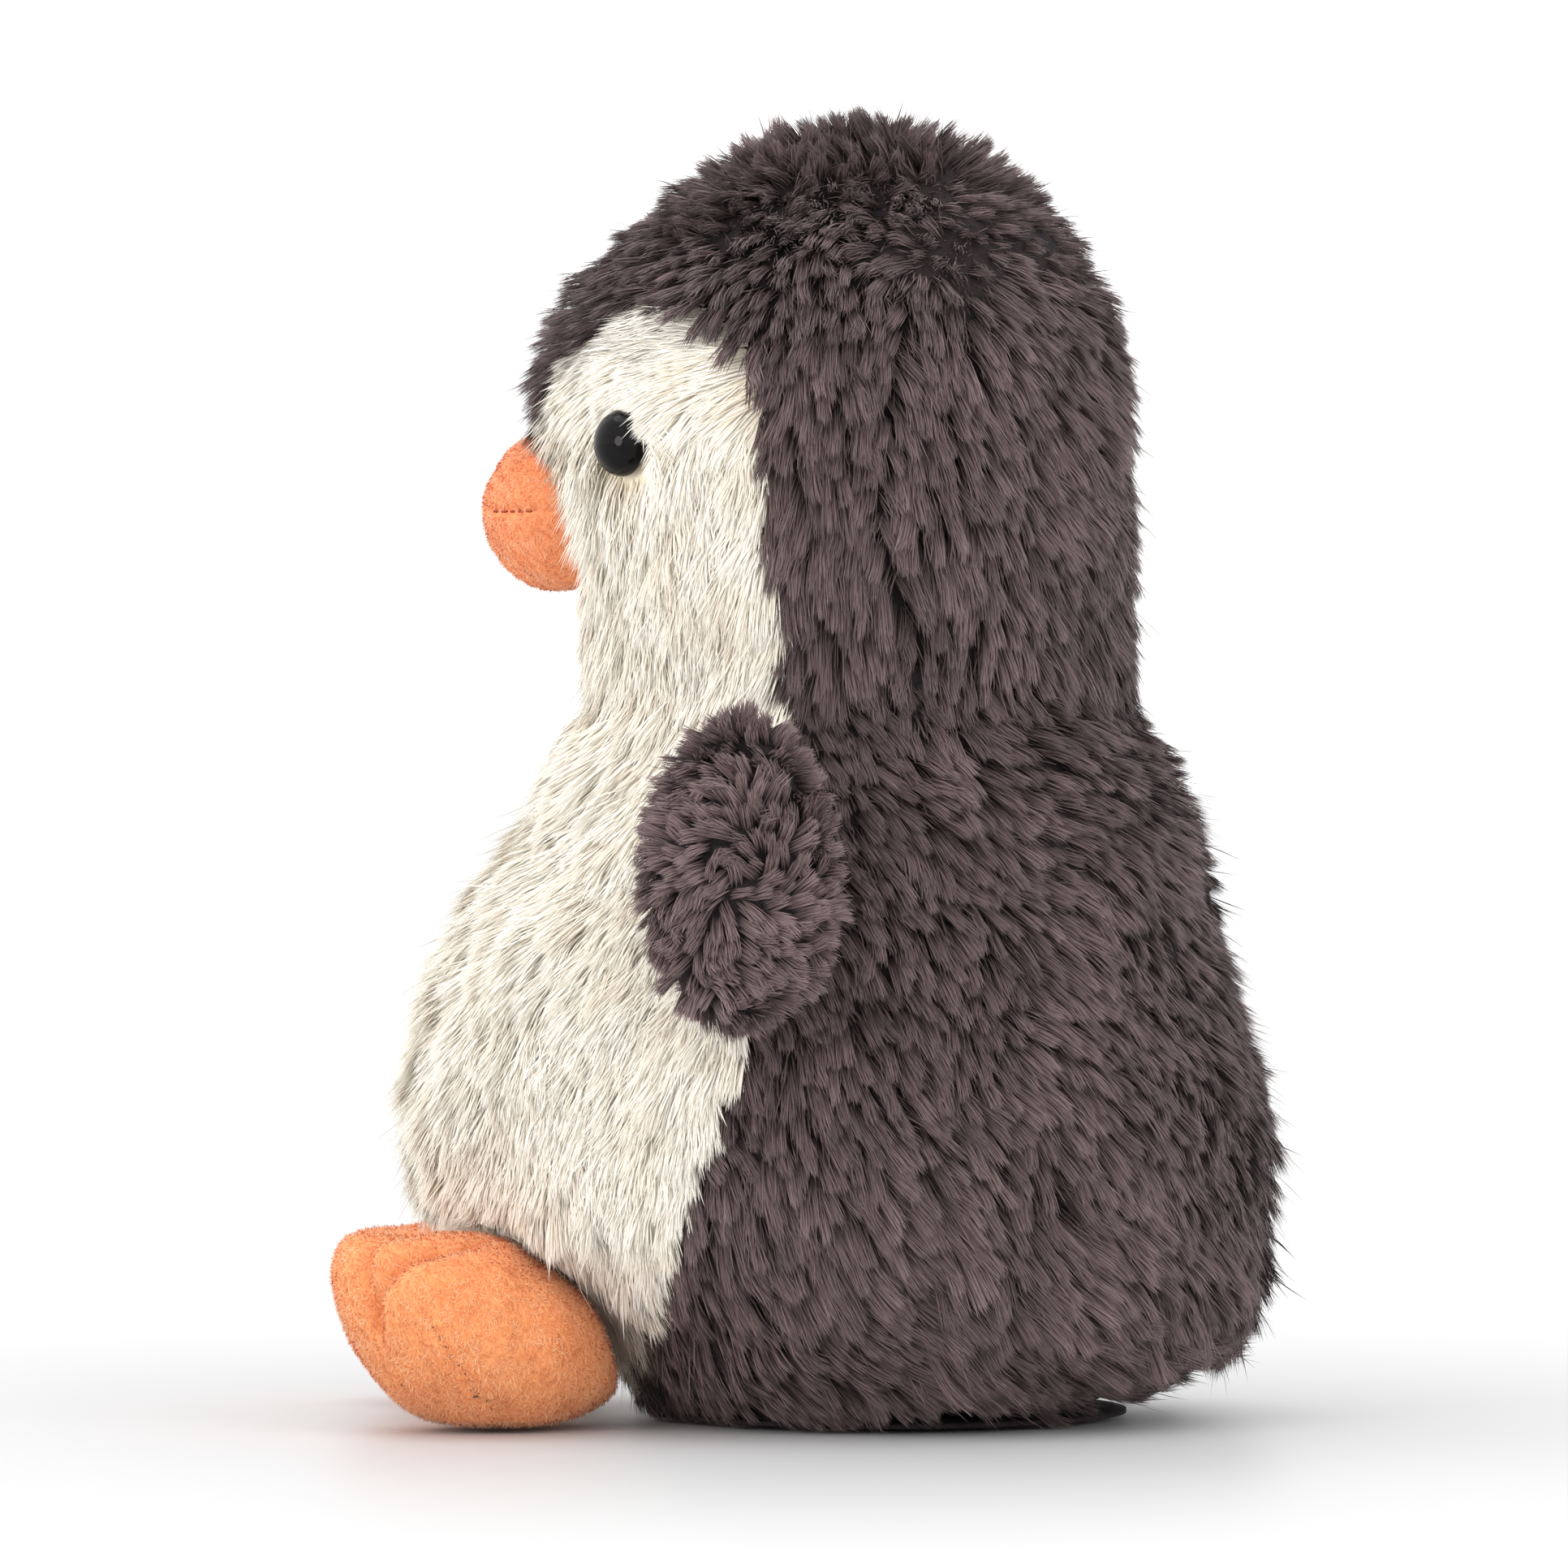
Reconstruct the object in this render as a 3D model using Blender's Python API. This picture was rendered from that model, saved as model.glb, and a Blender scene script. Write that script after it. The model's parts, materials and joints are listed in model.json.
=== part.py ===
"""Seated plush penguin: sewn plush cover in panels, stuffing, pellet bag, safety eyes, sewn beak, wings and feet.

The toy faces -Y, +Z is up and its left side is +X. The origin is on the floor under the middle of its outline.
The cover of head and body follows one envelope, given ring by ring from the floor to the crown. Each plush
panel is a patch of that envelope as thick as its backing cloth and pile, and the stuffing fills what is left.
"""

import math

import bmesh
import bpy
import numpy as np
from mathutils import Matrix, Vector

MM = 0.001

# Driving dimensions, in millimetres.
PANEL = 5.0  # backing cloth and pile of a long-pile panel
WALL_GAP = 0.6  # between the cover and the stuffing
SEAM_GAP = 0.25  # each panel stops this far short of a seam line
BACK_SEAM_GAP = 0.9  # room for the closing thread
SHORT_PILE = 2.2  # cloth and pile of the orange pieces
WING_PILE = 4.0

NECK_CENTRE = (0.0, 8.5, 95.0)  # the head turns about this point, on a round neck
NECK_R = 61.0
NECK_GAP = 0.6
POUCH_TOP = 29.4  # the pellet bag fills the seat up to here

EYE_D = 11.4
EYE_AT = (-33.7, 173.0)  # y, z of the eye's middle
SHANK_D = 3.4
WASHER_D = 13.0

BEAK_CENTRE = (0.0, -43.8, 161.6)
BEAK_R = (13.0, 12.9, 14.4)

WING_ROOT = (56.7, -10.8, 102.4)
WING_LENGTH = 28.5
WING_DIR = (0.98, -0.07, -0.17)
WING_SEAM = (-0.274, 0.0, 0.962)  # the side seam's own direction, up the flank

FOOT_CENTRE = (33.0, -57.6, 17.1)
FOOT_R = (20.0, 27.0, 14.5)  # half width, half length, half thickness
FOOT_TILT = 24.0  # toes up
FOOT_SPLAY = 9.0  # toes out
FOOT_HINGE = (-36.5, 12.0)  # y, z of the seam at the heel
FOOT_LIFT = 15.0

# Rings of the envelope: height, foremost y, rearmost y, half width.
RINGS = (
    (0.0, -27.0, 55.0, 40.0),
    (4.0, -31.0, 63.5, 48.0),
    (11.0, -36.0, 73.5, 56.0),
    (20.0, -43.5, 79.5, 61.5),
    (30.0, -58.0, 81.9, 64.5),
    (40.0, -69.5, 82.3, 65.8),
    (52.0, -72.0, 82.2, 66.0),
    (64.0, -71.5, 80.8, 65.3),
    (76.0, -68.5, 77.6, 63.6),
    (88.0, -63.0, 74.6, 61.2),
    (99.0, -56.0, 72.4, 59.0),
    (109.0, -49.5, 69.6, 56.4),
    (118.0, -45.2, 65.2, 53.4),
    (125.0, -42.6, 60.8, 51.2),
    (131.0, -41.0, 58.4, 50.2),
    (138.0, -41.2, 58.8, 51.2),
    (147.0, -43.0, 59.2, 53.0),
    (157.0, -45.0, 59.2, 54.3),
    (167.0, -46.6, 58.9, 54.6),
    (177.0, -47.4, 58.4, 54.0),
    (187.0, -46.6, 57.6, 52.2),
    (197.0, -42.6, 56.0, 48.8),
    (206.0, -36.4, 52.8, 43.8),
    (214.0, -28.6, 47.6, 37.4),
    (221.0, -19.6, 40.2, 29.0),
    (226.0, -10.4, 31.2, 20.0),
    (229.2, -0.6, 21.2, 10.4),
    (230.0, 10.4, 10.4, 0.0),
)
ROW_OF = {ring[0]: index for index, ring in enumerate(RINGS)}
TOP = len(RINGS) - 1

# The seam between ivory and dark, as the y where it crosses each height.
SIDE_SEAM = (
    (0.0, -20.0), (11.0, -27.0), (24.0, -25.0), (45.0, -20.0), (58.0, -16.0), (66.0, -12.0),
    (88.0, -11.0), (109.0, -8.5), (131.0, -3.5), (143.0, -5.0), (160.0, -8.0), (180.0, -9.0),
    (191.0, -13.0), (197.0, -20.0),
)
# Half angle of the dark forehead strip at each height, in degrees from straight ahead.
STRIP = ((0.0, 12.0), (131.0, 10.0), (157.0, 9.0), (177.0, 7.0), (187.0, 11.0), (197.0, 26.0), (230.0, 30.0))
# The upright seam in the hood, as an angle from straight ahead.
HOOD_SEAM = ((0.0, 108.0), (118.0, 104.0), (197.0, 101.0), (230.0, 110.0))

CELLS_STRIP, CELLS_FACE, CELLS_HOOD, CELLS_BACK = 1, 4, 3, 4
HALF = CELLS_STRIP + CELLS_FACE + CELLS_HOOD + CELLS_BACK
COLUMNS = 2 * HALF


def clear():
    for obj in list(bpy.data.objects):
        bpy.data.objects.remove(obj, do_unlink=True)


def material(name, colour, roughness, coat=0.0):
    made = bpy.data.materials.new(name)
    made.use_nodes = True
    shader = made.node_tree.nodes["Principled BSDF"]
    shader.inputs["Base Color"].default_value = (*colour, 1.0)
    shader.inputs["Roughness"].default_value = roughness
    shader.inputs["Metallic"].default_value = 0.0
    shader.inputs["Coat Weight"].default_value = coat
    return made


def along(table, at):
    return float(np.interp(at, [row[0] for row in table], [row[1] for row in table]))


def ring_centre(row):
    _, front, back, half = RINGS[row]
    return (front + back) / 2, (back - front) / 2, half


def key_angles(row):
    """The angles of the seams that cross this ring, from straight ahead round to the back."""
    z = RINGS[row][0]
    middle, depth, _ = ring_centre(row)
    strip = math.radians(along(STRIP, z))
    hood = math.radians(along(HOOD_SEAM, z))
    if z <= 197.0:
        share = (middle - along(SIDE_SEAM, z)) / depth
        side = math.acos(max(-1.0, min(1.0, share)))
    else:
        side = math.radians(60.0)
    return 0.0, strip, side, hood, math.pi


def angles(row):
    keys = key_angles(row)
    half = [0.0]
    for start, end, cells in zip(keys, keys[1:], (CELLS_STRIP, CELLS_FACE, CELLS_HOOD, CELLS_BACK)):
        half += [start + (end - start) * (k + 1) / cells for k in range(cells)]
    return [-a for a in half[:0:-1]] + half[:-1]  # from the back, round by the right side, to the front and on


def envelope():
    """Outer points [row, column] and the inward unit direction at each."""
    points = np.zeros((TOP + 1, COLUMNS, 3))
    for row in range(TOP + 1):
        middle, depth, half = ring_centre(row)
        for col, a in enumerate(angles(row)):
            points[row, col] = (half * math.sin(a), middle - depth * math.cos(a), RINGS[row][0])
    inward = np.zeros_like(points)
    for row in range(TOP + 1):
        low, high = max(row - 1, 0), min(row + 1, TOP)
        middle, depth, half = ring_centre(row)
        for col, a in enumerate(angles(row)):
            if row == TOP:
                inward[row, col] = (0, 0, -1)
                continue
            round_ = np.array((half * math.cos(a), depth * math.sin(a), 0.0))
            def at(r, angle=a):
                m, d, h = ring_centre(r)
                return np.array((h * math.sin(angle), m - d * math.cos(angle), RINGS[r][0]))
            up = at(high) - at(low)
            out = np.cross(round_, up)
            inward[row, col] = -out / np.linalg.norm(out)
    # The lowest ring meets the flat base at forty-five degrees.
    for col, a in enumerate(angles(0)):
        middle, depth, half = ring_centre(0)
        flat = np.array((half * math.sin(a), -depth * math.cos(a), 0.0))
        flat /= np.linalg.norm(flat)
        inward[0, col] = np.array((-flat[0], -flat[1], 1.0)) / math.sqrt(2) * 1.25
    return points, inward


POINTS, INWARD = envelope()


def at_depth(row, col, depth):
    return POINTS[row, col % COLUMNS] + INWARD[row, col % COLUMNS] * depth


def solid(name, vertices, faces, mat, hidden=False):
    """A mesh object from points in millimetres, triangulated, with its faces turned outward."""
    mesh = bpy.data.meshes.new(name)
    mesh.from_pydata([tuple(float(c) * MM for c in v) for v in vertices], [], faces)
    if not mesh.polygons:
        raise ValueError(name)
    form = bmesh.new()
    form.from_mesh(mesh)
    bmesh.ops.remove_doubles(form, verts=form.verts, dist=1e-7)
    bmesh.ops.recalc_face_normals(form, faces=form.faces)
    if form.calc_volume(signed=True) < 0:
        bmesh.ops.reverse_faces(form, faces=form.faces)
    form.to_mesh(mesh)
    form.free()
    mesh.shade_smooth()
    mesh.set_sharp_from_angle(angle=math.radians(40))
    obj = bpy.data.objects.new(name, mesh)
    bpy.context.collection.objects.link(obj)
    if mat:
        mesh.materials.append(mat)
    if hidden:
        obj.hide_render = True
        obj.display_type = "WIRE"
    return obj


def quad(faces, a, b, c, d):
    """Two triangles on the same diagonal at every depth, so that facets of neighbouring layers stay parallel."""
    for face in ((a, b, c), (a, c, d)):
        if len(set(face)) == 3:
            faces.append(face)


def panel(name, cells, mat, thick=PANEL, gaps=None):
    """A patch of the envelope with its own thickness. cells is a set of (row, column)."""
    gaps = gaps or {}
    cells = {(r, c % COLUMNS) for r, c in cells}
    index, vertices = {}, []

    def centre(cell):
        r, c = cell
        return (POINTS[r, c] + POINTS[r + 1, c] + POINTS[r, (c + 1) % COLUMNS] + POINTS[r + 1, (c + 1) % COLUMNS]) / 4

    def vertex(row, col, layer):
        col %= COLUMNS
        if row == TOP:
            col = 0
        key = (row, col, layer)
        if key in index:
            return index[key]
        point = at_depth(row, col, thick if layer else 0.0)
        if row < TOP:
            around = [(row - 1, col - 1), (row - 1, col), (row, col - 1), (row, col)]
            inside = [(r, c % COLUMNS) for r, c in around if (r, c % COLUMNS) in cells]
            if len(inside) < 4 and not (row == 0 and len(inside) == 2):
                toward = sum(centre(cell) for cell in inside) / len(inside) - POINTS[row, col]
                away = [INWARD[row, col]]
                if len(inside) == 2 and inside[0][1] == inside[1][1]:
                    away.append(POINTS[row + 1, col] - POINTS[max(row - 1, 0), col])
                elif len(inside) == 2 and inside[0][0] == inside[1][0]:
                    away.append(POINTS[row, (col + 1) % COLUMNS] - POINTS[row, col - 1])
                for direction in away:  # what is left points straight away from the seam, along the cloth
                    direction = direction / np.linalg.norm(direction)
                    toward = toward - direction * np.dot(toward, direction)
                gap = gaps.get(col, SEAM_GAP)
                if len(inside) in (1, 3):
                    gap *= math.sqrt(2)
                point = point + toward / np.linalg.norm(toward) * gap
        index[key] = len(vertices)
        vertices.append(point)
        return index[key]

    faces = []
    for r, c in sorted(cells):
        for layer in (0, 1):
            a, b = vertex(r, c, layer), vertex(r, c + 1, layer)
            d, e = vertex(r + 1, c, layer), vertex(r + 1, c + 1, layer)
            if layer:
                quad(faces, a, d, e, b)
            else:
                quad(faces, a, b, e, d)
        sides = (
            ((r - 1, c), (r, c), (r, c + 1)),
            ((r + 1, c), (r + 1, c), (r + 1, c + 1)),
            ((r, c - 1), (r, c), (r + 1, c)),
            ((r, c + 1), (r, c + 1), (r + 1, c + 1)),
        )
        for (nr, nc), p, q in sides:
            if (nr, nc % COLUMNS) in cells or nr >= TOP:
                continue
            quad(faces, vertex(*p, 0), vertex(*p, 1), vertex(*q, 1), vertex(*q, 0))
    return solid(name, vertices, faces, mat)


def filling(name, low, high, depth, mat, floor=None, hidden=False):
    """A closed body inside the envelope, from ring low to ring high, capped flat at each end that isn't the crown."""
    vertices, faces = [], []
    rings = []
    for row in range(low, high + 1):
        ring = []
        for col in range(COLUMNS):
            if row == TOP and ring:
                ring.append(ring[0])
                continue
            point = at_depth(row, col, depth)
            if row == low and floor is not None:
                point = np.array((point[0], point[1], floor))
            ring.append(len(vertices))
            vertices.append(point)
        rings.append(ring)
    for lower, upper in zip(rings, rings[1:]):
        for col in range(COLUMNS):
            after = (col + 1) % COLUMNS
            quad(faces, lower[col], lower[after], upper[after], upper[col])
    ends = [rings[0]] + ([rings[-1]] if high < TOP else [])
    for ring in ends:
        vertices.append(sum(vertices[i] for i in ring) / len(ring))
        for col in range(COLUMNS):
            faces.append((ring[col], ring[(col + 1) % COLUMNS], len(vertices) - 1))
    return solid(name, vertices, faces, mat, hidden)


def ball(name, centre, radii, segments=24, rings=12, hidden=True, turn=None, power=1.0, mat=None):
    """A closed ellipsoid, or a fuller or sharper one where power isn't 1."""
    vertices, faces = [], []
    for i in range(rings + 1):
        lat = math.pi * i / rings - math.pi / 2
        for j in range(segments):
            lon = 2 * math.pi * j / segments
            shape = (math.cos(lat) * math.cos(lon), math.cos(lat) * math.sin(lon), math.sin(lat))
            shape = [math.copysign(abs(s) ** power, s) for s in shape]
            point = Vector([r * s for r, s in zip(radii, shape)])
            if turn is not None:
                point = turn @ point
            vertices.append(tuple(point + Vector(centre)))
    for i in range(rings):
        for j in range(segments):
            k = (j + 1) % segments
            quad(faces, i * segments + j, i * segments + k, (i + 1) * segments + k, (i + 1) * segments + j)
    return solid(name, vertices, faces, mat, hidden)


def lathe(name, profile, origin, axis, mat, segments=16, hidden=False):
    """Turns (radius, height) pairs about an axis. A radius of 0 makes a pole."""
    turn = Vector((0, 0, 1)).rotation_difference(Vector(axis).normalized()).to_matrix()
    vertices, rings = [], []
    for radius, height in profile:
        count = 1 if radius == 0 else segments
        rings.append([len(vertices) + (k if radius else 0) for k in range(segments)])
        for k in range(count):
            a = 2 * math.pi * k / segments
            vertices.append(tuple(turn @ Vector((radius * math.cos(a), radius * math.sin(a), height)) + Vector(origin)))
    faces = []
    pairs = list(zip(rings, rings[1:]))
    if profile[0][0] != 0:
        pairs.append((rings[-1], rings[0]))
    for lower, upper in pairs:
        for k in range(segments):
            n = (k + 1) % segments
            quad(faces, lower[k], lower[n], upper[n], upper[k])
    return solid(name, vertices, faces, mat, hidden)


def boolean(obj, cutter, operation="DIFFERENCE"):
    step = obj.modifiers.new(cutter.name, "BOOLEAN")
    step.operation = operation
    step.solver = "EXACT"
    step.object = cutter
    return obj


def half_of(obj, point, normal, name=None):
    """Keeps the part of a closed mesh on the side that the normal points to, and closes it."""
    form = bmesh.new()
    form.from_mesh(obj.data)
    cut = bmesh.ops.bisect_plane(
        form, geom=form.verts[:] + form.edges[:] + form.faces[:], plane_co=Vector(point) * MM,
        plane_no=Vector(normal), clear_inner=True, clear_outer=False,
    )
    edges = [e for e in cut["geom_cut"] if isinstance(e, bmesh.types.BMEdge)]
    bmesh.ops.contextual_create(form, geom=edges)
    bmesh.ops.recalc_face_normals(form, faces=form.faces)
    form.to_mesh(obj.data)
    form.free()
    if name:
        obj.name = name
    return obj


def thread(name, path, diameter, mat, closed=False):
    """A round thread through the path's points."""
    curve = bpy.data.curves.new(name, "CURVE")
    curve.dimensions = "3D"
    curve.bevel_depth = diameter / 2 * MM
    curve.bevel_resolution = 1
    curve.use_fill_caps = True
    spline = curve.splines.new("POLY")
    spline.points.add(len(path) - 1)
    for point, at in zip(spline.points, path):
        point.co = (*(Vector(at) * MM), 1.0)
    spline.use_cyclic_u = closed
    curve.materials.append(mat)
    obj = bpy.data.objects.new(name, curve)
    bpy.context.collection.objects.link(obj)
    return obj


def columns(side, first, last):
    """Column numbers of the cells between two seams on one side: 1 is the left, -1 the right."""
    if side > 0:
        return range(HALF + first, HALF + last)
    return range(HALF - last, HALF - first)


def block(rows, cols):
    return {(r, c) for r in rows for c in cols}


def own_origin(obj, at):
    """Moves the object's origin to a point in millimetres without moving its shape."""
    shift = Vector(at) * MM
    if obj.type == "CURVE":
        for spline in obj.data.splines:
            for point in spline.points:
                point.co = (*(Vector(point.co[:3]) - shift), 1.0)
    else:
        obj.data.transform(Matrix.Translation(-shift))
    obj.location = shift
    return obj


def eye(side, plush, plastic, washer_mat, face, stuffing):
    tag = "left" if side > 0 else "right"
    y, z = EYE_AT
    front, back, half = (np.interp(z, [r[0] for r in RINGS], [r[k] for r in RINGS]) for k in (1, 2, 3))
    middle, depth = (front + back) / 2, (back - front) / 2
    angle = math.acos((middle - y) / depth)
    surface = Vector((side * half * math.sin(angle), y, z))
    out = Vector((side * math.sin(angle) / half, -math.cos(angle) / depth, 0.0)).normalized()
    r = EYE_D / 2
    dome = [(r * math.cos(math.radians(a)), -3.0 + 4.6 * math.sin(math.radians(a))) for a in (90, 72, 54, 36, 18, 0)]
    dome[0] = (0, dome[0][1])
    shank = SHANK_D / 2
    profile = [*dome, (r - 0.3, -3.7), (shank, -3.7), (shank, -10.5), (0, -10.5)]
    made = lathe(f"eye_{tag}", profile, surface, out, plastic)
    seat = lathe(f"eye_seat_cutter_{tag}", [(0, 8), (r + 0.35, 8), (r + 0.35, -4.0), (0, -4.0)], surface, out, None, hidden=True)
    hole = lathe(f"eye_hole_cutter_{tag}", [(0, 8), (shank + 0.35, 8), (shank + 0.35, -12), (0, -12)], surface, out, None, hidden=True)
    pocket = lathe(f"eye_pocket_cutter_{tag}", [(0, 6), (WASHER_D / 2 + 0.6, 6), (WASHER_D / 2 + 0.6, -11.2), (0, -11.2)], surface, out, None, hidden=True)
    boolean(face, seat)
    boolean(face, hole)
    boolean(stuffing, pocket)
    w = WASHER_D / 2
    washer = lathe(
        f"eye_washer_{tag}",
        [(shank + 0.3, -6.3), (w, -6.3), (w, -7.6), (shank + 1.4, -7.6), (shank + 1.4, -9.0), (shank + 0.3, -9.0)],
        surface, out, washer_mat,
    )
    return made, washer


def beak(mats, targets):
    """The two halves of the beak, its stuffing and the stitch along the mouth."""
    tilt = Matrix.Rotation(math.radians(-6), 3, "X")
    inner_head = filling("beak_seat_cutter", ROW_OF[131.0], TOP, 3.0, None, hidden=True)
    room = ball("beak_room_cutter", BEAK_CENTRE, [r + 0.4 for r in BEAK_R], turn=tilt)
    for target in targets:
        boolean(target, room)
    made = []
    for name, sign in (("beak_upper", 1), ("beak_lower", -1)):
        part = ball(name, BEAK_CENTRE, BEAK_R, hidden=False, turn=tilt, mat=mats["beak"])
        half_of(part, (0, 0, BEAK_CENTRE[2] - 0.6 + 0.15 * sign), (0, 0, sign))
        made.append(part)
    core = ball("beak_core_cutter", BEAK_CENTRE, [r - SHORT_PILE for r in BEAK_R], turn=tilt)
    for part in made:
        boolean(part, core)
        boolean(part, inner_head)
    inside = ball("beak_stuffing", BEAK_CENTRE, [r - SHORT_PILE - 0.35 for r in BEAK_R], hidden=False, turn=tilt, mat=mats["fibre"])
    boolean(inside, inner_head)
    path = []
    z = BEAK_CENTRE[2] - 0.6
    for k in range(13):
        a = math.radians(-62 + 124 * k / 12)
        lift = 0.5
        level = (z - BEAK_CENTRE[2]) / BEAK_R[2]
        ring = math.sqrt(1 - level * level)
        path.append((
            (BEAK_R[0] * ring + lift) * math.sin(a),
            BEAK_CENTRE[1] - (BEAK_R[1] * ring + lift) * math.cos(a),
            z,
        ))
    stitch = thread("mouth_stitch", path, 0.5, mats["thread"])
    return (*made, inside, stitch)


def wing_form(name, side, shrink, start, end, mat, hidden, steps=9, around=16):
    """The wing, or the space inside it, lofted from the side seam out to its tip."""
    root, out, seam = Vector(WING_ROOT), Vector(WING_DIR).normalized(), Vector(WING_SEAM)
    thick = ((0.0, 0.9), (0.1, 3.0), (0.2, 6.0), (0.35, 10.8), (0.5, 15.2), (0.62, 17.4), (0.75, 17.2), (0.87, 13.8), (0.95, 8.8), (1.0, 0.0))
    tall = ((0.0, 20.5), (0.1, 22.3), (0.2, 24.0), (0.35, 26.0), (0.5, 27.2), (0.62, 27.4), (0.75, 25.8), (0.87, 21.4), (0.95, 14.2), (1.0, 0.0))
    vertices, faces, rings = [], [], []
    stops = [start + (end - start) * (1 - (1 - k / steps) ** 1.35) for k in range(steps + 1)]
    for s in stops:
        centre = root + out * (WING_LENGTH * s)
        lean = seam.lerp(Vector((-0.1, 0, 1)).normalized(), s)
        b, a = max(along(thick, s) - shrink, 0.0), max(along(tall, s) - shrink, 0.0)
        if min(a, b) <= 0:
            rings.append([len(vertices)] * around)
            vertices.append(centre)
            continue
        ring = []
        for k in range(around):
            t = 2 * math.pi * k / around
            ring.append(len(vertices))
            vertices.append(centre + lean * (a * math.cos(t)) + Vector((0, b * math.sin(t), 0)))
        rings.append(ring)
    for lower, upper in zip(rings, rings[1:]):
        for k in range(around):
            n = (k + 1) % around
            quad(faces, lower[k], lower[n], upper[n], upper[k])
    for ring in (rings[0], rings[-1]):
        if len(set(ring)) > 1:
            vertices.append(sum((Vector(vertices[i]) for i in ring), Vector()) / around)
            for k in range(around):
                faces.append((ring[k], ring[(k + 1) % around], len(vertices) - 1))
    vertices = [(side * v[0], v[1], v[2]) for v in vertices]
    return solid(name, vertices, faces, mat, hidden)


def wing(side, mats):
    tag = "left" if side > 0 else "right"
    made = []
    across = Vector((side * WING_DIR[0], WING_DIR[1], 0)).normalized()
    normal = Vector((-across.y, across.x, 0)) * side  # toward the back
    root = (side * WING_ROOT[0], WING_ROOT[1], WING_ROOT[2])
    core = wing_form(f"wing_core_cutter_{tag}", side, WING_PILE, 0.33, 0.84, None, True)
    for name, sign in (("front", -1), ("rear", 1)):
        part = wing_form(f"wing_{tag}_{name}_panel", side, 0.0, 0.0, 1.0, mats["dark"], False)
        half_of(part, Vector(root) + normal * (0.15 * sign), normal * sign)
        boolean(part, core)
        made.append(own_origin(part, root))
    inside = wing_form(f"wing_{tag}_stuffing", side, WING_PILE + 0.5, 0.355, 0.82, mats["fibre"], False)
    made.append(own_origin(inside, root))
    return made


def foot_point(side, lon, lat, shrink, lift=0.0):
    """A point of the foot: lon 0 is straight out through the middle toe."""
    valley = 0.0
    reach = abs(math.degrees(math.atan2(math.sin(lon), math.cos(lon))))
    if reach < 60:
        wave = (1 - math.cos(math.radians(reach * 9))) / 2
        valley = 0.10 * wave * min(1.0, (60 - reach) / 12)
    keep = 1 - valley * max(math.cos(lat), 0.0) ** 0.6
    half_width, half_length, half_thick = (r - shrink for r in FOOT_R)
    out = Vector((
        half_width * math.cos(lat) * math.sin(lon),
        -half_length * math.cos(lat) * math.cos(lon),
        half_thick * math.sin(lat),
    )) * keep
    out += out.normalized() * lift
    turn = Matrix.Rotation(math.radians(FOOT_SPLAY), 3, "Z") @ Matrix.Rotation(math.radians(-FOOT_TILT), 3, "X")
    point = turn @ out + Vector(FOOT_CENTRE)
    return Vector((side * point.x, point.y, point.z))


def foot_form(name, side, shrink, mat, hidden, segments=36, rings=8):
    vertices, faces = [], []
    for i in range(rings + 1):
        lat = math.pi * i / rings - math.pi / 2
        for j in range(segments):
            vertices.append(foot_point(side, 2 * math.pi * j / segments, lat, shrink))
    for i in range(rings):
        for j in range(segments):
            k = (j + 1) % segments
            quad(faces, i * segments + j, i * segments + k, (i + 1) * segments + k, (i + 1) * segments + j)
    return solid(name, vertices, faces, mat, hidden)


def foot(side, mats, targets):
    tag = "left" if side > 0 else "right"
    turn = Matrix.Rotation(math.radians(FOOT_SPLAY), 3, "Z") @ Matrix.Rotation(math.radians(-FOOT_TILT), 3, "X")
    normal = turn @ Vector((0, 0, 1))
    normal.x *= side
    centre = Vector((side * FOOT_CENTRE[0], FOOT_CENTRE[1], FOOT_CENTRE[2]))
    hinge = Vector((side * FOOT_CENTRE[0], *FOOT_HINGE))
    # The room that the foot sweeps as its toes are lifted.
    swept = []
    for step in range(4):
        lift = Matrix.Rotation(math.radians(-FOOT_LIFT * step / 3), 3, "X")
        for i in range(13):
            for j in range(24):
                point = foot_point(side, 2 * math.pi * j / 24, math.pi * i / 12 - math.pi / 2, 0.0)
                grown = centre + (point - centre) * 1.045
                swept.append(tuple((lift @ (grown - hinge) + hinge) * MM))
    form = bmesh.new()
    for point in swept:
        form.verts.new(point)
    hull = bmesh.ops.convex_hull(form, input=form.verts)
    spare = {v for v in hull["geom_interior"] + hull["geom_unused"] if isinstance(v, bmesh.types.BMVert)}
    bmesh.ops.delete(form, geom=list(spare), context="VERTS")
    bmesh.ops.remove_doubles(form, verts=form.verts, dist=2e-4)
    mesh = bpy.data.meshes.new(f"foot_room_cutter_{tag}")
    bmesh.ops.recalc_face_normals(form, faces=form.faces)
    form.to_mesh(mesh)
    form.free()
    room = bpy.data.objects.new(mesh.name, mesh)
    bpy.context.collection.objects.link(room)
    room.hide_render = True
    room.display_type = "WIRE"
    for target in targets:
        boolean(target, room)
    made = []
    core = foot_form(f"foot_core_cutter_{tag}", side, SHORT_PILE, None, True)
    for name, sign in (("top", 1), ("sole", -1)):
        part = foot_form(f"foot_{tag}_{name}_panel", side, 0.0, mats["orange"], False)
        half_of(part, centre + normal * (0.15 * sign), normal * sign)
        boolean(part, core)
        made.append(own_origin(part, hinge))
    inside = foot_form(f"foot_{tag}_stuffing", side, SHORT_PILE + 0.4, mats["fibre"], False)
    made.append(own_origin(inside, hinge))
    for name, lon in (("inner", -20), ("outer", 20)):
        path = [foot_point(side, math.radians(lon), math.radians(6 + 46 * k / 8), 0.0, 0.75) for k in range(9)]
        stitch = thread(f"foot_{tag}_toe_stitch_{name}", path, 0.7, mats["orange_thread"])
        made.append(own_origin(stitch, hinge))
    return made


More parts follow.
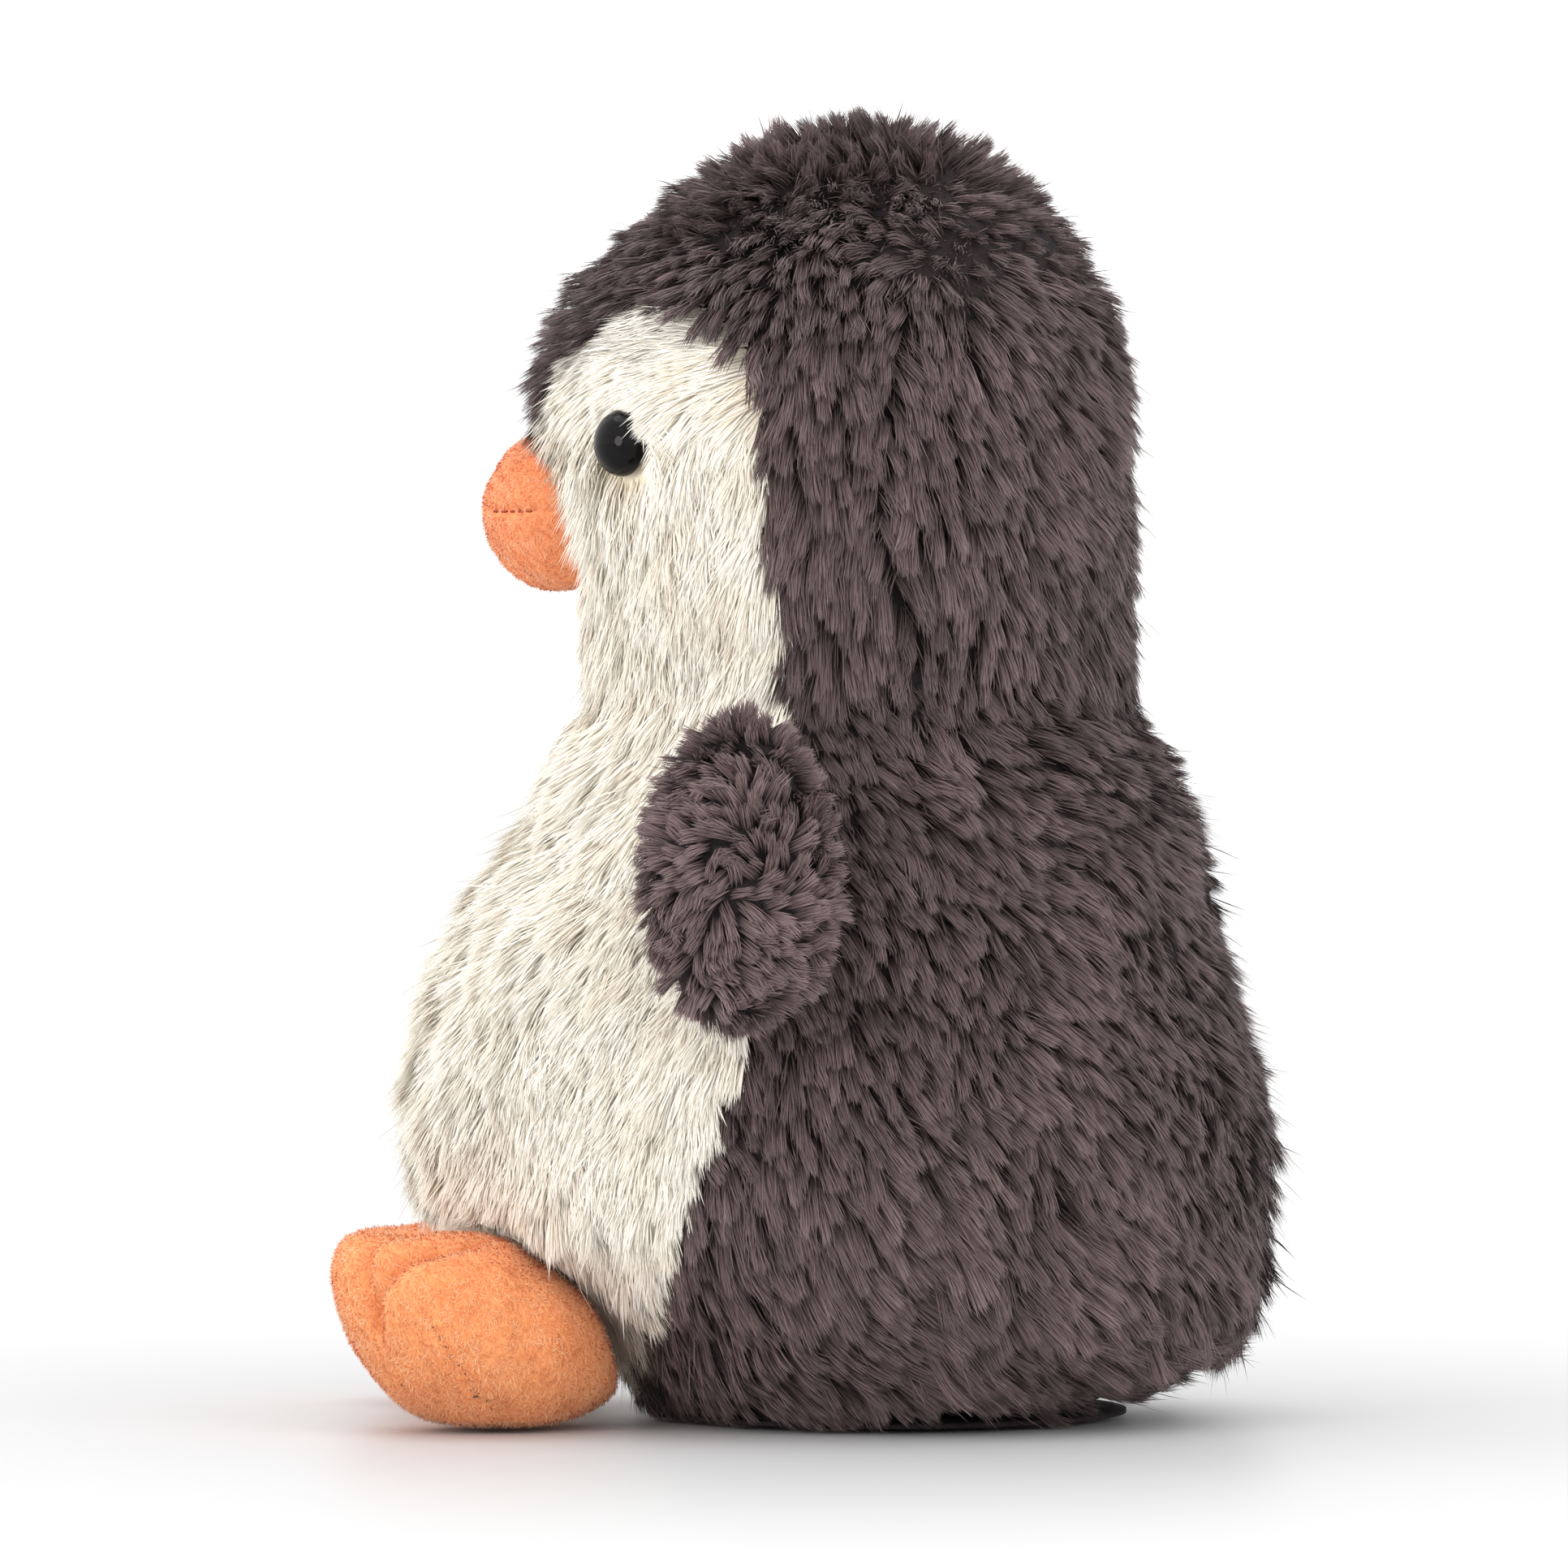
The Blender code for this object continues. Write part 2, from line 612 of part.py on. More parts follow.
def main():
    clear()
    mats = {
        "dark": material("dark_plush", (0.085, 0.066, 0.066), 0.95),
        "ivory": material("ivory_plush", (0.83, 0.78, 0.66), 0.95),
        "orange": material("orange_plush", (0.86, 0.29, 0.11), 0.95),
        "beak": material("beak_plush", (0.80, 0.22, 0.08), 0.95),
        "fibre": material("polyester_fibre", (0.85, 0.85, 0.83), 1.0),
        "pouch": material("pouch_cloth", (0.60, 0.58, 0.52), 0.9),
        "eye": material("eye_plastic", (0.006, 0.006, 0.007), 0.08, coat=1.0),
        "washer": material("washer_plastic", (0.75, 0.75, 0.72), 0.5),
        "thread": material("dark_thread", (0.20, 0.05, 0.02), 0.8),
        "orange_thread": material("orange_thread", (0.60, 0.16, 0.06), 0.8),
        "seam_thread": material("seam_thread", (0.05, 0.04, 0.04), 0.8),
    }
    strip, face, hood = CELLS_STRIP, CELLS_STRIP + CELLS_FACE, CELLS_STRIP + CELLS_FACE + CELLS_HOOD
    neck, brow = ROW_OF[131.0] - 0, ROW_OF[197.0]
    cap, peak = ROW_OF[206.0], ROW_OF[177.0]

    # Head. Its panels start below the round neck and are cut back to it.
    low = ROW_OF[131.0] - 1
    crown = block(range(cap, TOP), range(COLUMNS)) | block(range(brow, cap), list(columns(-1, 0, face)) + list(columns(1, 0, face)))
    crown |= block(range(peak, brow), list(columns(-1, 0, strip)) + list(columns(1, 0, strip)))
    head = {"crown_panel": panel("crown_panel", crown, mats["dark"])}
    for side, tag in ((1, "left"), (-1, "right")):
        white = block(range(low, brow), columns(side, strip, face)) | block(range(low, peak), columns(side, 0, strip))
        head[f"face_panel_{tag}"] = panel(f"face_panel_{tag}", white, mats["ivory"])
        head[f"hood_side_panel_{tag}"] = panel(
            f"hood_side_panel_{tag}", block(range(low, cap), columns(side, face, hood)), mats["dark"]
        )
    head["head_back_panel"] = panel(
        "head_back_panel", block(range(low, cap), list(columns(1, hood, HALF)) + list(columns(-1, hood, HALF))), mats["dark"]
    )
    head["head_stuffing"] = filling("head_stuffing", low, TOP, PANEL + WALL_GAP, mats["fibre"])

    # Body. Its panels run up past the neck and are cut back to the round neck too.
    high = ROW_OF[138.0] + 1
    body = {
        "tummy_panel": panel("tummy_panel", block(range(0, high), list(columns(1, 0, face)) + list(columns(-1, 0, face))), mats["ivory"]),
    }
    back_edge = {0: BACK_SEAM_GAP}
    for side, tag in ((1, "left"), (-1, "right")):
        body[f"body_back_panel_{tag}"] = panel(
            f"body_back_panel_{tag}", block(range(0, high), columns(side, face, HALF)), mats["dark"], gaps=back_edge
        )
    body["body_stuffing"] = half_of(
        filling("body_stuffing", 1, ROW_OF[167.0], PANEL + WALL_GAP, mats["fibre"]), (0, 0, POUCH_TOP + WALL_GAP), (0, 0, 1)
    )
    body["bean_pouch"] = half_of(
        filling("bean_pouch", 1, ROW_OF[64.0], PANEL + WALL_GAP, mats["pouch"]), (0, 0, POUCH_TOP), (0, 0, -1)
    )

    # The body ends in a ball at the neck, and the head has the matching hollow.
    dome = ball("neck_ball_cutter", NECK_CENTRE, [NECK_R] * 3, 36, 18)
    hollow = ball("neck_hollow_cutter", NECK_CENTRE, [NECK_R + NECK_GAP] * 3, 36, 18)
    for name, part in head.items():
        if name != "crown_panel":
            boolean(part, hollow)
    for name in ("tummy_panel", "body_back_panel_left", "body_back_panel_right", "body_stuffing"):
        crop = block_above(name, dome)
        boolean(body[name], crop)
    for side in (1, -1):
        tag = "left" if side > 0 else "right"
        eye(side, mats["dark"], mats["eye"], mats["washer"], head[f"face_panel_{tag}"], head["head_stuffing"])
        wing(side, mats)
        foot(side, mats, [body[n] for n in ("tummy_panel", "body_stuffing", "bean_pouch")])
    beak(mats, [head[n] for n in ("face_panel_left", "face_panel_right", "crown_panel")])
    base_panel(mats["dark"])
    back_thread(mats["seam_thread"])


def block_above(name, dome):
    """A cutter that takes off whatever of the named piece stands above the neck and outside the neck's ball."""
    x, y, _ = NECK_CENTRE
    low, high, reach = 118.0, 240.0, 90.0
    corners = [(x + sx * reach, y + sy * reach, z) for z in (low, high) for sx, sy in ((-1, -1), (1, -1), (1, 1), (-1, 1))]
    faces = [(0, 3, 2, 1), (4, 5, 6, 7), (0, 1, 5, 4), (1, 2, 6, 5), (2, 3, 7, 6), (3, 0, 4, 7)]
    made = solid(f"neck_crop_cutter_{name}", corners, faces, None, hidden=True)
    return boolean(made, dome)


def base_panel(mat):
    """The flat seat panel: its rim leans in at forty-five degrees to meet the cover's lowest edge."""
    vertices, faces, low, high = [], [], [], []
    middle = np.array((0.0, ring_centre(0)[0], 0.0))
    for col in range(COLUMNS):
        for ring, depth in ((low, 0.0), (high, PANEL * 0.8)):
            point = at_depth(0, col, depth)
            toward = middle - POINTS[0, col]
            point = point + toward / np.linalg.norm(toward) * 0.45
            ring.append(len(vertices))
            vertices.append(point)
    for ring in (low, high):
        vertices.append(sum(vertices[i] for i in ring) / COLUMNS)
        for col in range(COLUMNS):
            faces.append((ring[col], ring[(col + 1) % COLUMNS], len(vertices) - 1))
    for col in range(COLUMNS):
        after = (col + 1) % COLUMNS
        quad(faces, low[col], low[after], high[after], high[col])
    return solid("base_panel", vertices, faces, mat)


def back_thread(mat):
    """The thread that closes the back, lying in the seam between the two back panels at half their thickness."""
    path = [at_depth(row, 0, PANEL * 0.5) for row in range(ROW_OF[30.0], ROW_OF[99.0] + 1)]
    return thread("back_seam_thread", path, 0.9, mat)


main()
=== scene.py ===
"""Looks of the seated plush penguin: sewn skins, long combed pile in tufts, short orange pile, glossy eyes."""

import json
import math

import bmesh
import bpy
import numpy as np
from mathutils import Matrix, Vector

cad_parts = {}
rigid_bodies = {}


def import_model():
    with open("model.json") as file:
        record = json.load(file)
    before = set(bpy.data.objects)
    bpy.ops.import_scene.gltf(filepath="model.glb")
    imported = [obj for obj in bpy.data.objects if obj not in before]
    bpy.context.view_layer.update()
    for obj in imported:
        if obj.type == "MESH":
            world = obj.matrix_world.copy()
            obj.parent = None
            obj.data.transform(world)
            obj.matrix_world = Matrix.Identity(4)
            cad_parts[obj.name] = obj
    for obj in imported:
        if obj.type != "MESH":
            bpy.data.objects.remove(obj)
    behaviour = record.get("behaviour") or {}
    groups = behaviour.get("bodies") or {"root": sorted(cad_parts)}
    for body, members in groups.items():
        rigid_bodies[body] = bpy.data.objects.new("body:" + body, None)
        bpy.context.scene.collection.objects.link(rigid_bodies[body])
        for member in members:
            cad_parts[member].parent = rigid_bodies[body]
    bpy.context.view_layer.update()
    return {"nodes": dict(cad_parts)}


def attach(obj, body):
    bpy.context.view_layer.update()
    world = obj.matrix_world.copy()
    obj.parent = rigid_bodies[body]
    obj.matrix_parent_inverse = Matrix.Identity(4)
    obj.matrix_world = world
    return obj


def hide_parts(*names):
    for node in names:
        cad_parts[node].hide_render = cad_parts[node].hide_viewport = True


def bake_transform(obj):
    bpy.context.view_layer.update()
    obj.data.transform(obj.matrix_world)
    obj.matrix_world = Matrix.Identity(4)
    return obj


for startup in list(bpy.data.objects):
    bpy.data.objects.remove(startup, do_unlink=True)
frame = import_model()
MM = 0.001

# The design's own dimensions, in millimetres: rings of the envelope as height, foremost y, rearmost y, half width.
RINGS = np.array((
    (0.0, -27.0, 55.0, 40.0), (4.0, -31.0, 63.5, 48.0), (11.0, -36.0, 73.5, 56.0), (20.0, -43.5, 79.5, 61.5),
    (30.0, -58.0, 81.9, 64.5), (40.0, -69.5, 82.3, 65.8), (52.0, -72.0, 82.2, 66.0), (64.0, -71.5, 80.8, 65.3),
    (76.0, -68.5, 77.6, 63.6), (88.0, -63.0, 74.6, 61.2), (99.0, -56.0, 72.4, 59.0), (109.0, -49.5, 69.6, 56.4),
    (118.0, -45.2, 65.2, 53.4), (125.0, -42.6, 60.8, 51.2), (131.0, -41.0, 58.4, 50.2), (138.0, -41.2, 58.8, 51.2),
    (147.0, -43.0, 59.2, 53.0), (157.0, -45.0, 59.2, 54.3), (167.0, -46.6, 58.9, 54.6), (177.0, -47.4, 58.4, 54.0),
    (187.0, -46.6, 57.6, 52.2), (197.0, -42.6, 56.0, 48.8), (206.0, -36.4, 52.8, 43.8), (214.0, -28.6, 47.6, 37.4),
    (221.0, -19.6, 40.2, 29.0), (226.0, -10.4, 31.2, 20.0), (229.2, -0.6, 21.2, 10.4), (230.0, 10.4, 10.4, 0.0),
))
TOP = len(RINGS) - 1
SIDE_SEAM = ((0, -50), (5, -46), (9, -40), (14, -35), (21, -31.5), (31, -28), (46, -22.5), (58, -18), (66, -14), (88, -11.5), (109, -8.5), (131, -3.5), (143, -5), (160, -8), (180, -9), (188, -11))
SKIN_OUT, SKIN_IN = 4.5, 5.3  # the cloth under the pile, as depths below the envelope
NECK = np.array((0.0, 8.5, 95.0))
NECK_Z = 131.0

EYE_D, EYE_Y, EYE_Z = 11.4, -34.7, 173.0
BEAK_CENTRE = np.array((0.0, -43.8, 161.6))
BEAK_R = np.array((13.0, 12.9, 14.4))
WING_ROOT, WING_LENGTH = np.array((56.7, -10.8, 102.4)), 28.5
WING_DIR = np.array((0.98, -0.07, -0.17)) / np.linalg.norm((0.98, -0.07, -0.17))
WING_SEAM = np.array((-0.274, 0.0, 0.962))
WING_THICK = ((0, 0.9), (0.1, 3.0), (0.2, 6.0), (0.35, 10.8), (0.5, 15.2), (0.62, 17.4), (0.75, 17.2), (0.87, 13.8), (0.95, 8.8), (1, 0))
WING_TALL = ((0, 20.5), (0.1, 22.3), (0.2, 24.0), (0.35, 26.0), (0.5, 27.2), (0.62, 27.4), (0.75, 25.8), (0.87, 21.4), (0.95, 14.2), (1, 0))
FOOT_CENTRE, FOOT_R = np.array((33.0, -57.7, 19.4)), np.array((20.5, 28.3, 14.4))
FOOT_TILT, FOOT_SPLAY = {1: 28.0, -1: 18.0}, 30.0  # the far foot rests flatter: the photo hides it behind the near one


# ---------------------------------------------------------------- small tools
def smooth(x, low, high):
    t = np.clip((np.asarray(x, float) - low) / (high - low), 0, 1)
    return t * t * (3 - 2 * t)


def unit(v):
    return v / np.maximum(np.linalg.norm(v, axis=-1, keepdims=True), 1e-12)


def wave_noise(points, scale, seed, octaves=1):
    """Smooth noise in about -1 to 1 from a few sine waves in random directions."""
    rng = np.random.default_rng(seed)
    out = np.zeros(len(points))
    total = 0.0
    for octave in range(octaves):
        amount = 0.55**octave
        for _ in range(7):
            way = rng.normal(size=3)
            way *= (2 * math.pi / scale) * (2**octave) * rng.uniform(0.6, 1.4) / np.linalg.norm(way)
            out += amount * np.sin(points @ way + rng.uniform(0, 2 * math.pi))
        total += amount * math.sqrt(7 / 2)
    return out / (total * 1.3)


def curve(table, at):
    """Smooth interpolation of a short table, flat past its ends."""
    xs, ys = np.array([r[0] for r in table], float), np.array([r[1] for r in table], float)
    at = np.clip(np.asarray(at, float), xs[0], xs[-1])
    slope = np.gradient(ys, xs)
    i = np.clip(np.searchsorted(xs, at, side="right") - 1, 0, len(xs) - 2)
    h = xs[i + 1] - xs[i]
    t = (at - xs[i]) / h
    return ((2 * t**3 - 3 * t**2 + 1) * ys[i] + (t**3 - 2 * t**2 + t) * h * slope[i]
            + (-2 * t**3 + 3 * t**2) * ys[i + 1] + (t**3 - t**2) * h * slope[i + 1])


def rings_at(t):
    """Height, middle, half depth and half width at ring number t, which need not be whole."""
    t = np.clip(np.asarray(t, float), 0, TOP)
    cols = [curve(list(zip(range(TOP + 1), RINGS[:, k])), t) for k in range(4)]
    z, front, back, half = cols
    return z, (front + back) / 2, np.maximum((back - front) / 2, 1e-4), np.maximum(half, 1e-4)


def ring_number(z):
    return np.interp(z, RINGS[:, 0], np.arange(TOP + 1))


def envelope(t, a):
    z, middle, depth, half = rings_at(t)
    return np.stack([half * np.sin(a), middle - depth * np.cos(a), z], -1)


def envelope_frame(t, a):
    """Points, outward unit directions, downhill unit directions and sideways unit directions (toward larger angle)."""
    t, a = np.asarray(t, float), np.asarray(a, float)
    e = 0.02
    t1, t0 = np.minimum(t + e, TOP - 1e-3), np.maximum(np.minimum(t, TOP - 0.05) - e, 0)
    up = unit(envelope(t1, a) - envelope(t0, a))
    z, middle, depth, half = rings_at(t)
    side = unit(np.stack([half * np.cos(a), depth * np.sin(a), np.zeros_like(a)], -1))
    out = unit(np.cross(side, up))
    side = unit(np.cross(up, out))
    return envelope(t, a), out, -up, side


def side_angle(z):
    """Where ivory meets dark, as an angle from straight ahead."""
    z = np.asarray(z, float)
    _, middle, depth, _ = rings_at(ring_number(z))
    share = (middle - curve(SIDE_SEAM, z)) / depth
    low = np.arccos(np.clip(share, -1, 1))
    arch = np.radians(curve(((183, 74), (188.5, 71), (193.5, 65), (197, 58), (199.2, 50), (200.2, 44)), z))
    mix = smooth(z, 182, 187)
    return low * (1 - mix) + arch * mix


def strip_angle(z):
    """Half the width of the dark forehead strip, as an angle."""
    return np.radians(curve(((150, 1.5), (168, 4.8), (174, 7.5), (183, 10.0), (187.5, 14.5), (191.5, 20.5), (195.5, 28), (198.6, 35), (200.2, 41)), z))


def hood_angle(z):
    return np.radians(curve(((0, 108), (118, 104), (197, 101), (230, 110)), z))


# ---------------------------------------------------------------- materials
def new_material(name):
    mat = bpy.data.materials.new(name)
    mat.use_nodes = True
    shader = mat.node_tree.nodes["Principled BSDF"]
    return mat, mat.node_tree, shader


def link_ramp(tree, value, stops):
    ramp = tree.nodes.new("ShaderNodeValToRGB")
    ramp.color_ramp.interpolation = "EASE"
    while len(ramp.color_ramp.elements) < len(stops):
        ramp.color_ramp.elements.new(0.5)
    for element, (at, colour) in zip(ramp.color_ramp.elements, stops):
        element.position = at
        element.color = (*colour, 1.0)
    tree.links.new(value, ramp.inputs["Fac"])
    return ramp.outputs["Color"]


def multiply(tree, one, two, factor=1.0):
    mix = tree.nodes.new("ShaderNodeMix")
    mix.data_type = "RGBA"
    mix.blend_type = "MULTIPLY"
    mix.inputs["Factor"].default_value = factor
    tree.links.new(one, mix.inputs["A"])
    tree.links.new(two, mix.inputs["B"])
    return mix.outputs["Result"]


def pile_material(name, along, shade, roughness=0.8, specular=0.25, sheen=0.15, sheen_tint=(1, 1, 1)):
    """Colour of pile: v of the strand map runs from root to tip, u picks each strand's own tone. Darker towards the
    root: partly the fibres' own colour, partly painted shade deep between the locks.
    """
    mat, tree, shader = new_material(name)
    uv = tree.nodes.new("ShaderNodeUVMap")
    uv.uv_map = "OFBake"
    split = tree.nodes.new("ShaderNodeSeparateXYZ")
    tree.links.new(uv.outputs["UV"], split.inputs[0])
    colour = link_ramp(tree, split.outputs["Y"], along)
    tone = link_ramp(tree, split.outputs["X"], shade)
    tree.links.new(multiply(tree, colour, tone), shader.inputs["Base Color"])
    shader.inputs["Roughness"].default_value = roughness
    shader.inputs["Specular IOR Level"].default_value = specular
    shader.inputs["Sheen Weight"].default_value = sheen
    shader.inputs["Sheen Roughness"].default_value = 0.5
    shader.inputs["Sheen Tint"].default_value = (*sheen_tint, 1.0)
    return mat


def cloth_material(name, light, dark, scale=900.0, roughness=0.92, bump=0.4, sheen=0.0, distance=0.0004):
    """Knitted backing or short cloth: small mottling, a fine weave and its bump."""
    mat, tree, shader = new_material(name)
    at = tree.nodes.new("ShaderNodeTexCoord")
    fine = tree.nodes.new("ShaderNodeTexNoise")
    fine.inputs["Scale"].default_value = scale
    fine.inputs["Detail"].default_value = 6.0
    tree.links.new(at.outputs["Object"], fine.inputs["Vector"])
    broad = tree.nodes.new("ShaderNodeTexNoise")
    broad.inputs["Scale"].default_value = scale * 0.07
    broad.inputs["Detail"].default_value = 3.0
    tree.links.new(at.outputs["Object"], broad.inputs["Vector"])
    add = tree.nodes.new("ShaderNodeMath")
    add.operation = "MULTIPLY_ADD"
    add.inputs[1].default_value = 0.45
    tree.links.new(broad.outputs["Fac"], add.inputs[0])
    half = tree.nodes.new("ShaderNodeMath")
    half.operation = "MULTIPLY"
    half.inputs[1].default_value = 0.55
    tree.links.new(fine.outputs["Fac"], half.inputs[0])
    tree.links.new(half.outputs[0], add.inputs[2])
    colour = link_ramp(tree, add.outputs[0], ((0.36, dark), (0.62, light)))
    tree.links.new(colour, shader.inputs["Base Color"])
    lump = tree.nodes.new("ShaderNodeBump")
    lump.inputs["Strength"].default_value = bump
    lump.inputs["Distance"].default_value = distance
    tree.links.new(fine.outputs["Fac"], lump.inputs["Height"])
    tree.links.new(lump.outputs["Normal"], shader.inputs["Normal"])
    shader.inputs["Roughness"].default_value = roughness
    shader.inputs["Specular IOR Level"].default_value = 0.2
    shader.inputs["Sheen Weight"].default_value = sheen
    return mat


DARK_TONE = ((0.0, (0.60, 0.58, 0.58)), (0.5, (0.97, 0.96, 0.96)), (1.0, (1.45, 1.46, 1.48)))
IVORY_TONE = ((0.0, (0.93, 0.89, 0.82)), (0.5, (0.98, 0.975, 0.96)), (1.0, (1.0, 1.0, 1.0)))
ORANGE_TONE = ((0.0, (0.84, 0.66, 0.56)), (0.5, (0.98, 0.95, 0.92)), (1.0, (1.05, 1.32, 1.6)))

MATS = {
    # Painted shade: the dark pile is far darker at its roots than at its tips, partly its own colour and partly shade
    # painted deep between the locks.
    "dark_fur": pile_material(
        "dark_pile", ((0.0, (0.026, 0.018, 0.018)), (0.35, (0.082, 0.054, 0.053)), (0.75, (0.127, 0.086, 0.085)), (1.0, (0.200, 0.146, 0.145))),
        DARK_TONE, roughness=0.62, specular=0.3, sheen=0.12, sheen_tint=(1.0, 0.92, 0.94)),
    # Painted light: the wings' pile is a lighter copy of the dark pile, its colours raised to offset the shade among
    # the upright wing tufts.
    "wing_fur_painted_lighter": pile_material(
        "wing_pile", ((0.0, (0.031, 0.022, 0.022)), (0.35, (0.098, 0.065, 0.064)), (0.75, (0.150, 0.102, 0.101)), (1.0, (0.232, 0.170, 0.169))),
        DARK_TONE, roughness=0.62, specular=0.3, sheen=0.12, sheen_tint=(1.0, 0.92, 0.94)),
    "ivory_fur": pile_material(
        "ivory_pile", ((0.0, (0.95, 0.87, 0.71)), (0.22, (0.95, 0.885, 0.77)), (0.5, (0.945, 0.895, 0.805)), (1.0, (0.94, 0.905, 0.835))),
        IVORY_TONE, roughness=0.85, specular=0.08, sheen=0.0),
    "orange_fur": pile_material(
        "orange_pile", ((0.0, (0.88, 0.31, 0.115)), (0.5, (0.95, 0.41, 0.175)), (1.0, (0.97, 0.54, 0.30))),
        ORANGE_TONE, roughness=0.8, specular=0.2, sheen=0.25, sheen_tint=(1.0, 0.85, 0.75)),
    "beak_fur": pile_material(
        "beak_pile", ((0.0, (0.86, 0.27, 0.115)), (0.5, (0.93, 0.36, 0.165)), (1.0, (0.96, 0.49, 0.28))),
        ORANGE_TONE, roughness=0.8, specular=0.2, sheen=0.25, sheen_tint=(1.0, 0.85, 0.75)),
    "dark_cloth": cloth_material("dark_backing", (0.030, 0.022, 0.023), (0.014, 0.010, 0.011)),
    "ivory_cloth": cloth_material("ivory_backing", (0.92, 0.84, 0.67), (0.86, 0.75, 0.54)),
    "orange_cloth": cloth_material("orange_backing", (0.90, 0.38, 0.15), (0.80, 0.28, 0.10), sheen=0.2),
    "beak_cloth": cloth_material("beak_backing", (0.88, 0.34, 0.145), (0.78, 0.24, 0.09), sheen=0.2),
    "fibre": cloth_material("fibre_filling", (0.86, 0.86, 0.84), (0.66, 0.66, 0.64), scale=400, bump=1.0, distance=0.002),
    "pouch": cloth_material("pouch_cloth", (0.62, 0.60, 0.54), (0.46, 0.44, 0.38), scale=500, bump=0.8),
}


def plain_material(name, colour, spread, roughness, coat=0.0, specular=0.5, scale=300.0, bump=0.05):
    """Moulded plastic or thread: an even colour with a slight mottling and grain."""
    mat, tree, shader = new_material(name)
    at = tree.nodes.new("ShaderNodeTexCoord")
    noise = tree.nodes.new("ShaderNodeTexNoise")
    noise.inputs["Scale"].default_value = scale
    noise.inputs["Detail"].default_value = 4.0
    tree.links.new(at.outputs["Object"], noise.inputs["Vector"])
    low = tuple(c * (1 - spread) for c in colour)
    high = tuple(min(c * (1 + spread), 1.0) for c in colour)
    tree.links.new(link_ramp(tree, noise.outputs["Fac"], ((0.3, low), (0.7, high))), shader.inputs["Base Color"])
    lump = tree.nodes.new("ShaderNodeBump")
    lump.inputs["Strength"].default_value = bump
    lump.inputs["Distance"].default_value = 0.0001
    tree.links.new(noise.outputs["Fac"], lump.inputs["Height"])
    if bump:
        tree.links.new(lump.outputs["Normal"], shader.inputs["Normal"])
    shader.inputs["Roughness"].default_value = roughness
    shader.inputs["Coat Weight"].default_value = coat
    shader.inputs["Coat Roughness"].default_value = 0.03
    shader.inputs["Specular IOR Level"].default_value = specular
    return mat


MATS["eye"] = plain_material("eye_gloss", (0.004, 0.0032, 0.0032), 0.3, 0.06, specular=0.15, bump=0.0)
MATS["washer"] = plain_material("washer_plastic", (0.72, 0.72, 0.69), 0.06, 0.45)
MATS["dark_thread"] = plain_material("mouth_thread", (0.30, 0.045, 0.012), 0.35, 0.8, scale=2500, bump=0.6)
MATS["orange_thread"] = plain_material("toe_thread", (0.74, 0.22, 0.07), 0.2, 0.8, scale=2500, bump=0.6)
MATS["seam_thread"] = plain_material("closing_thread", (0.05, 0.04, 0.04), 0.3, 0.8, scale=2500, bump=0.6)


# ---------------------------------------------------------------- meshes
def mesh_piece(name, vertices, faces, mat, smooth_angle=None):
    mesh = bpy.data.meshes.new(name)
    mesh.from_pydata((np.asarray(vertices, float) * MM).tolist(), [], faces)
    form = bmesh.new()
    form.from_mesh(mesh)
    bmesh.ops.recalc_face_normals(form, faces=form.faces)
    if form.calc_volume(signed=True) < 0:
        bmesh.ops.reverse_faces(form, faces=form.faces)
    form.to_mesh(mesh)
    form.free()
    mesh.shade_smooth()
    if smooth_angle:
        mesh.set_sharp_from_angle(angle=math.radians(smooth_angle))
    mesh.materials.append(mat)
    obj = bpy.data.objects.new(name, mesh)
    bpy.context.collection.objects.link(obj)
    return obj


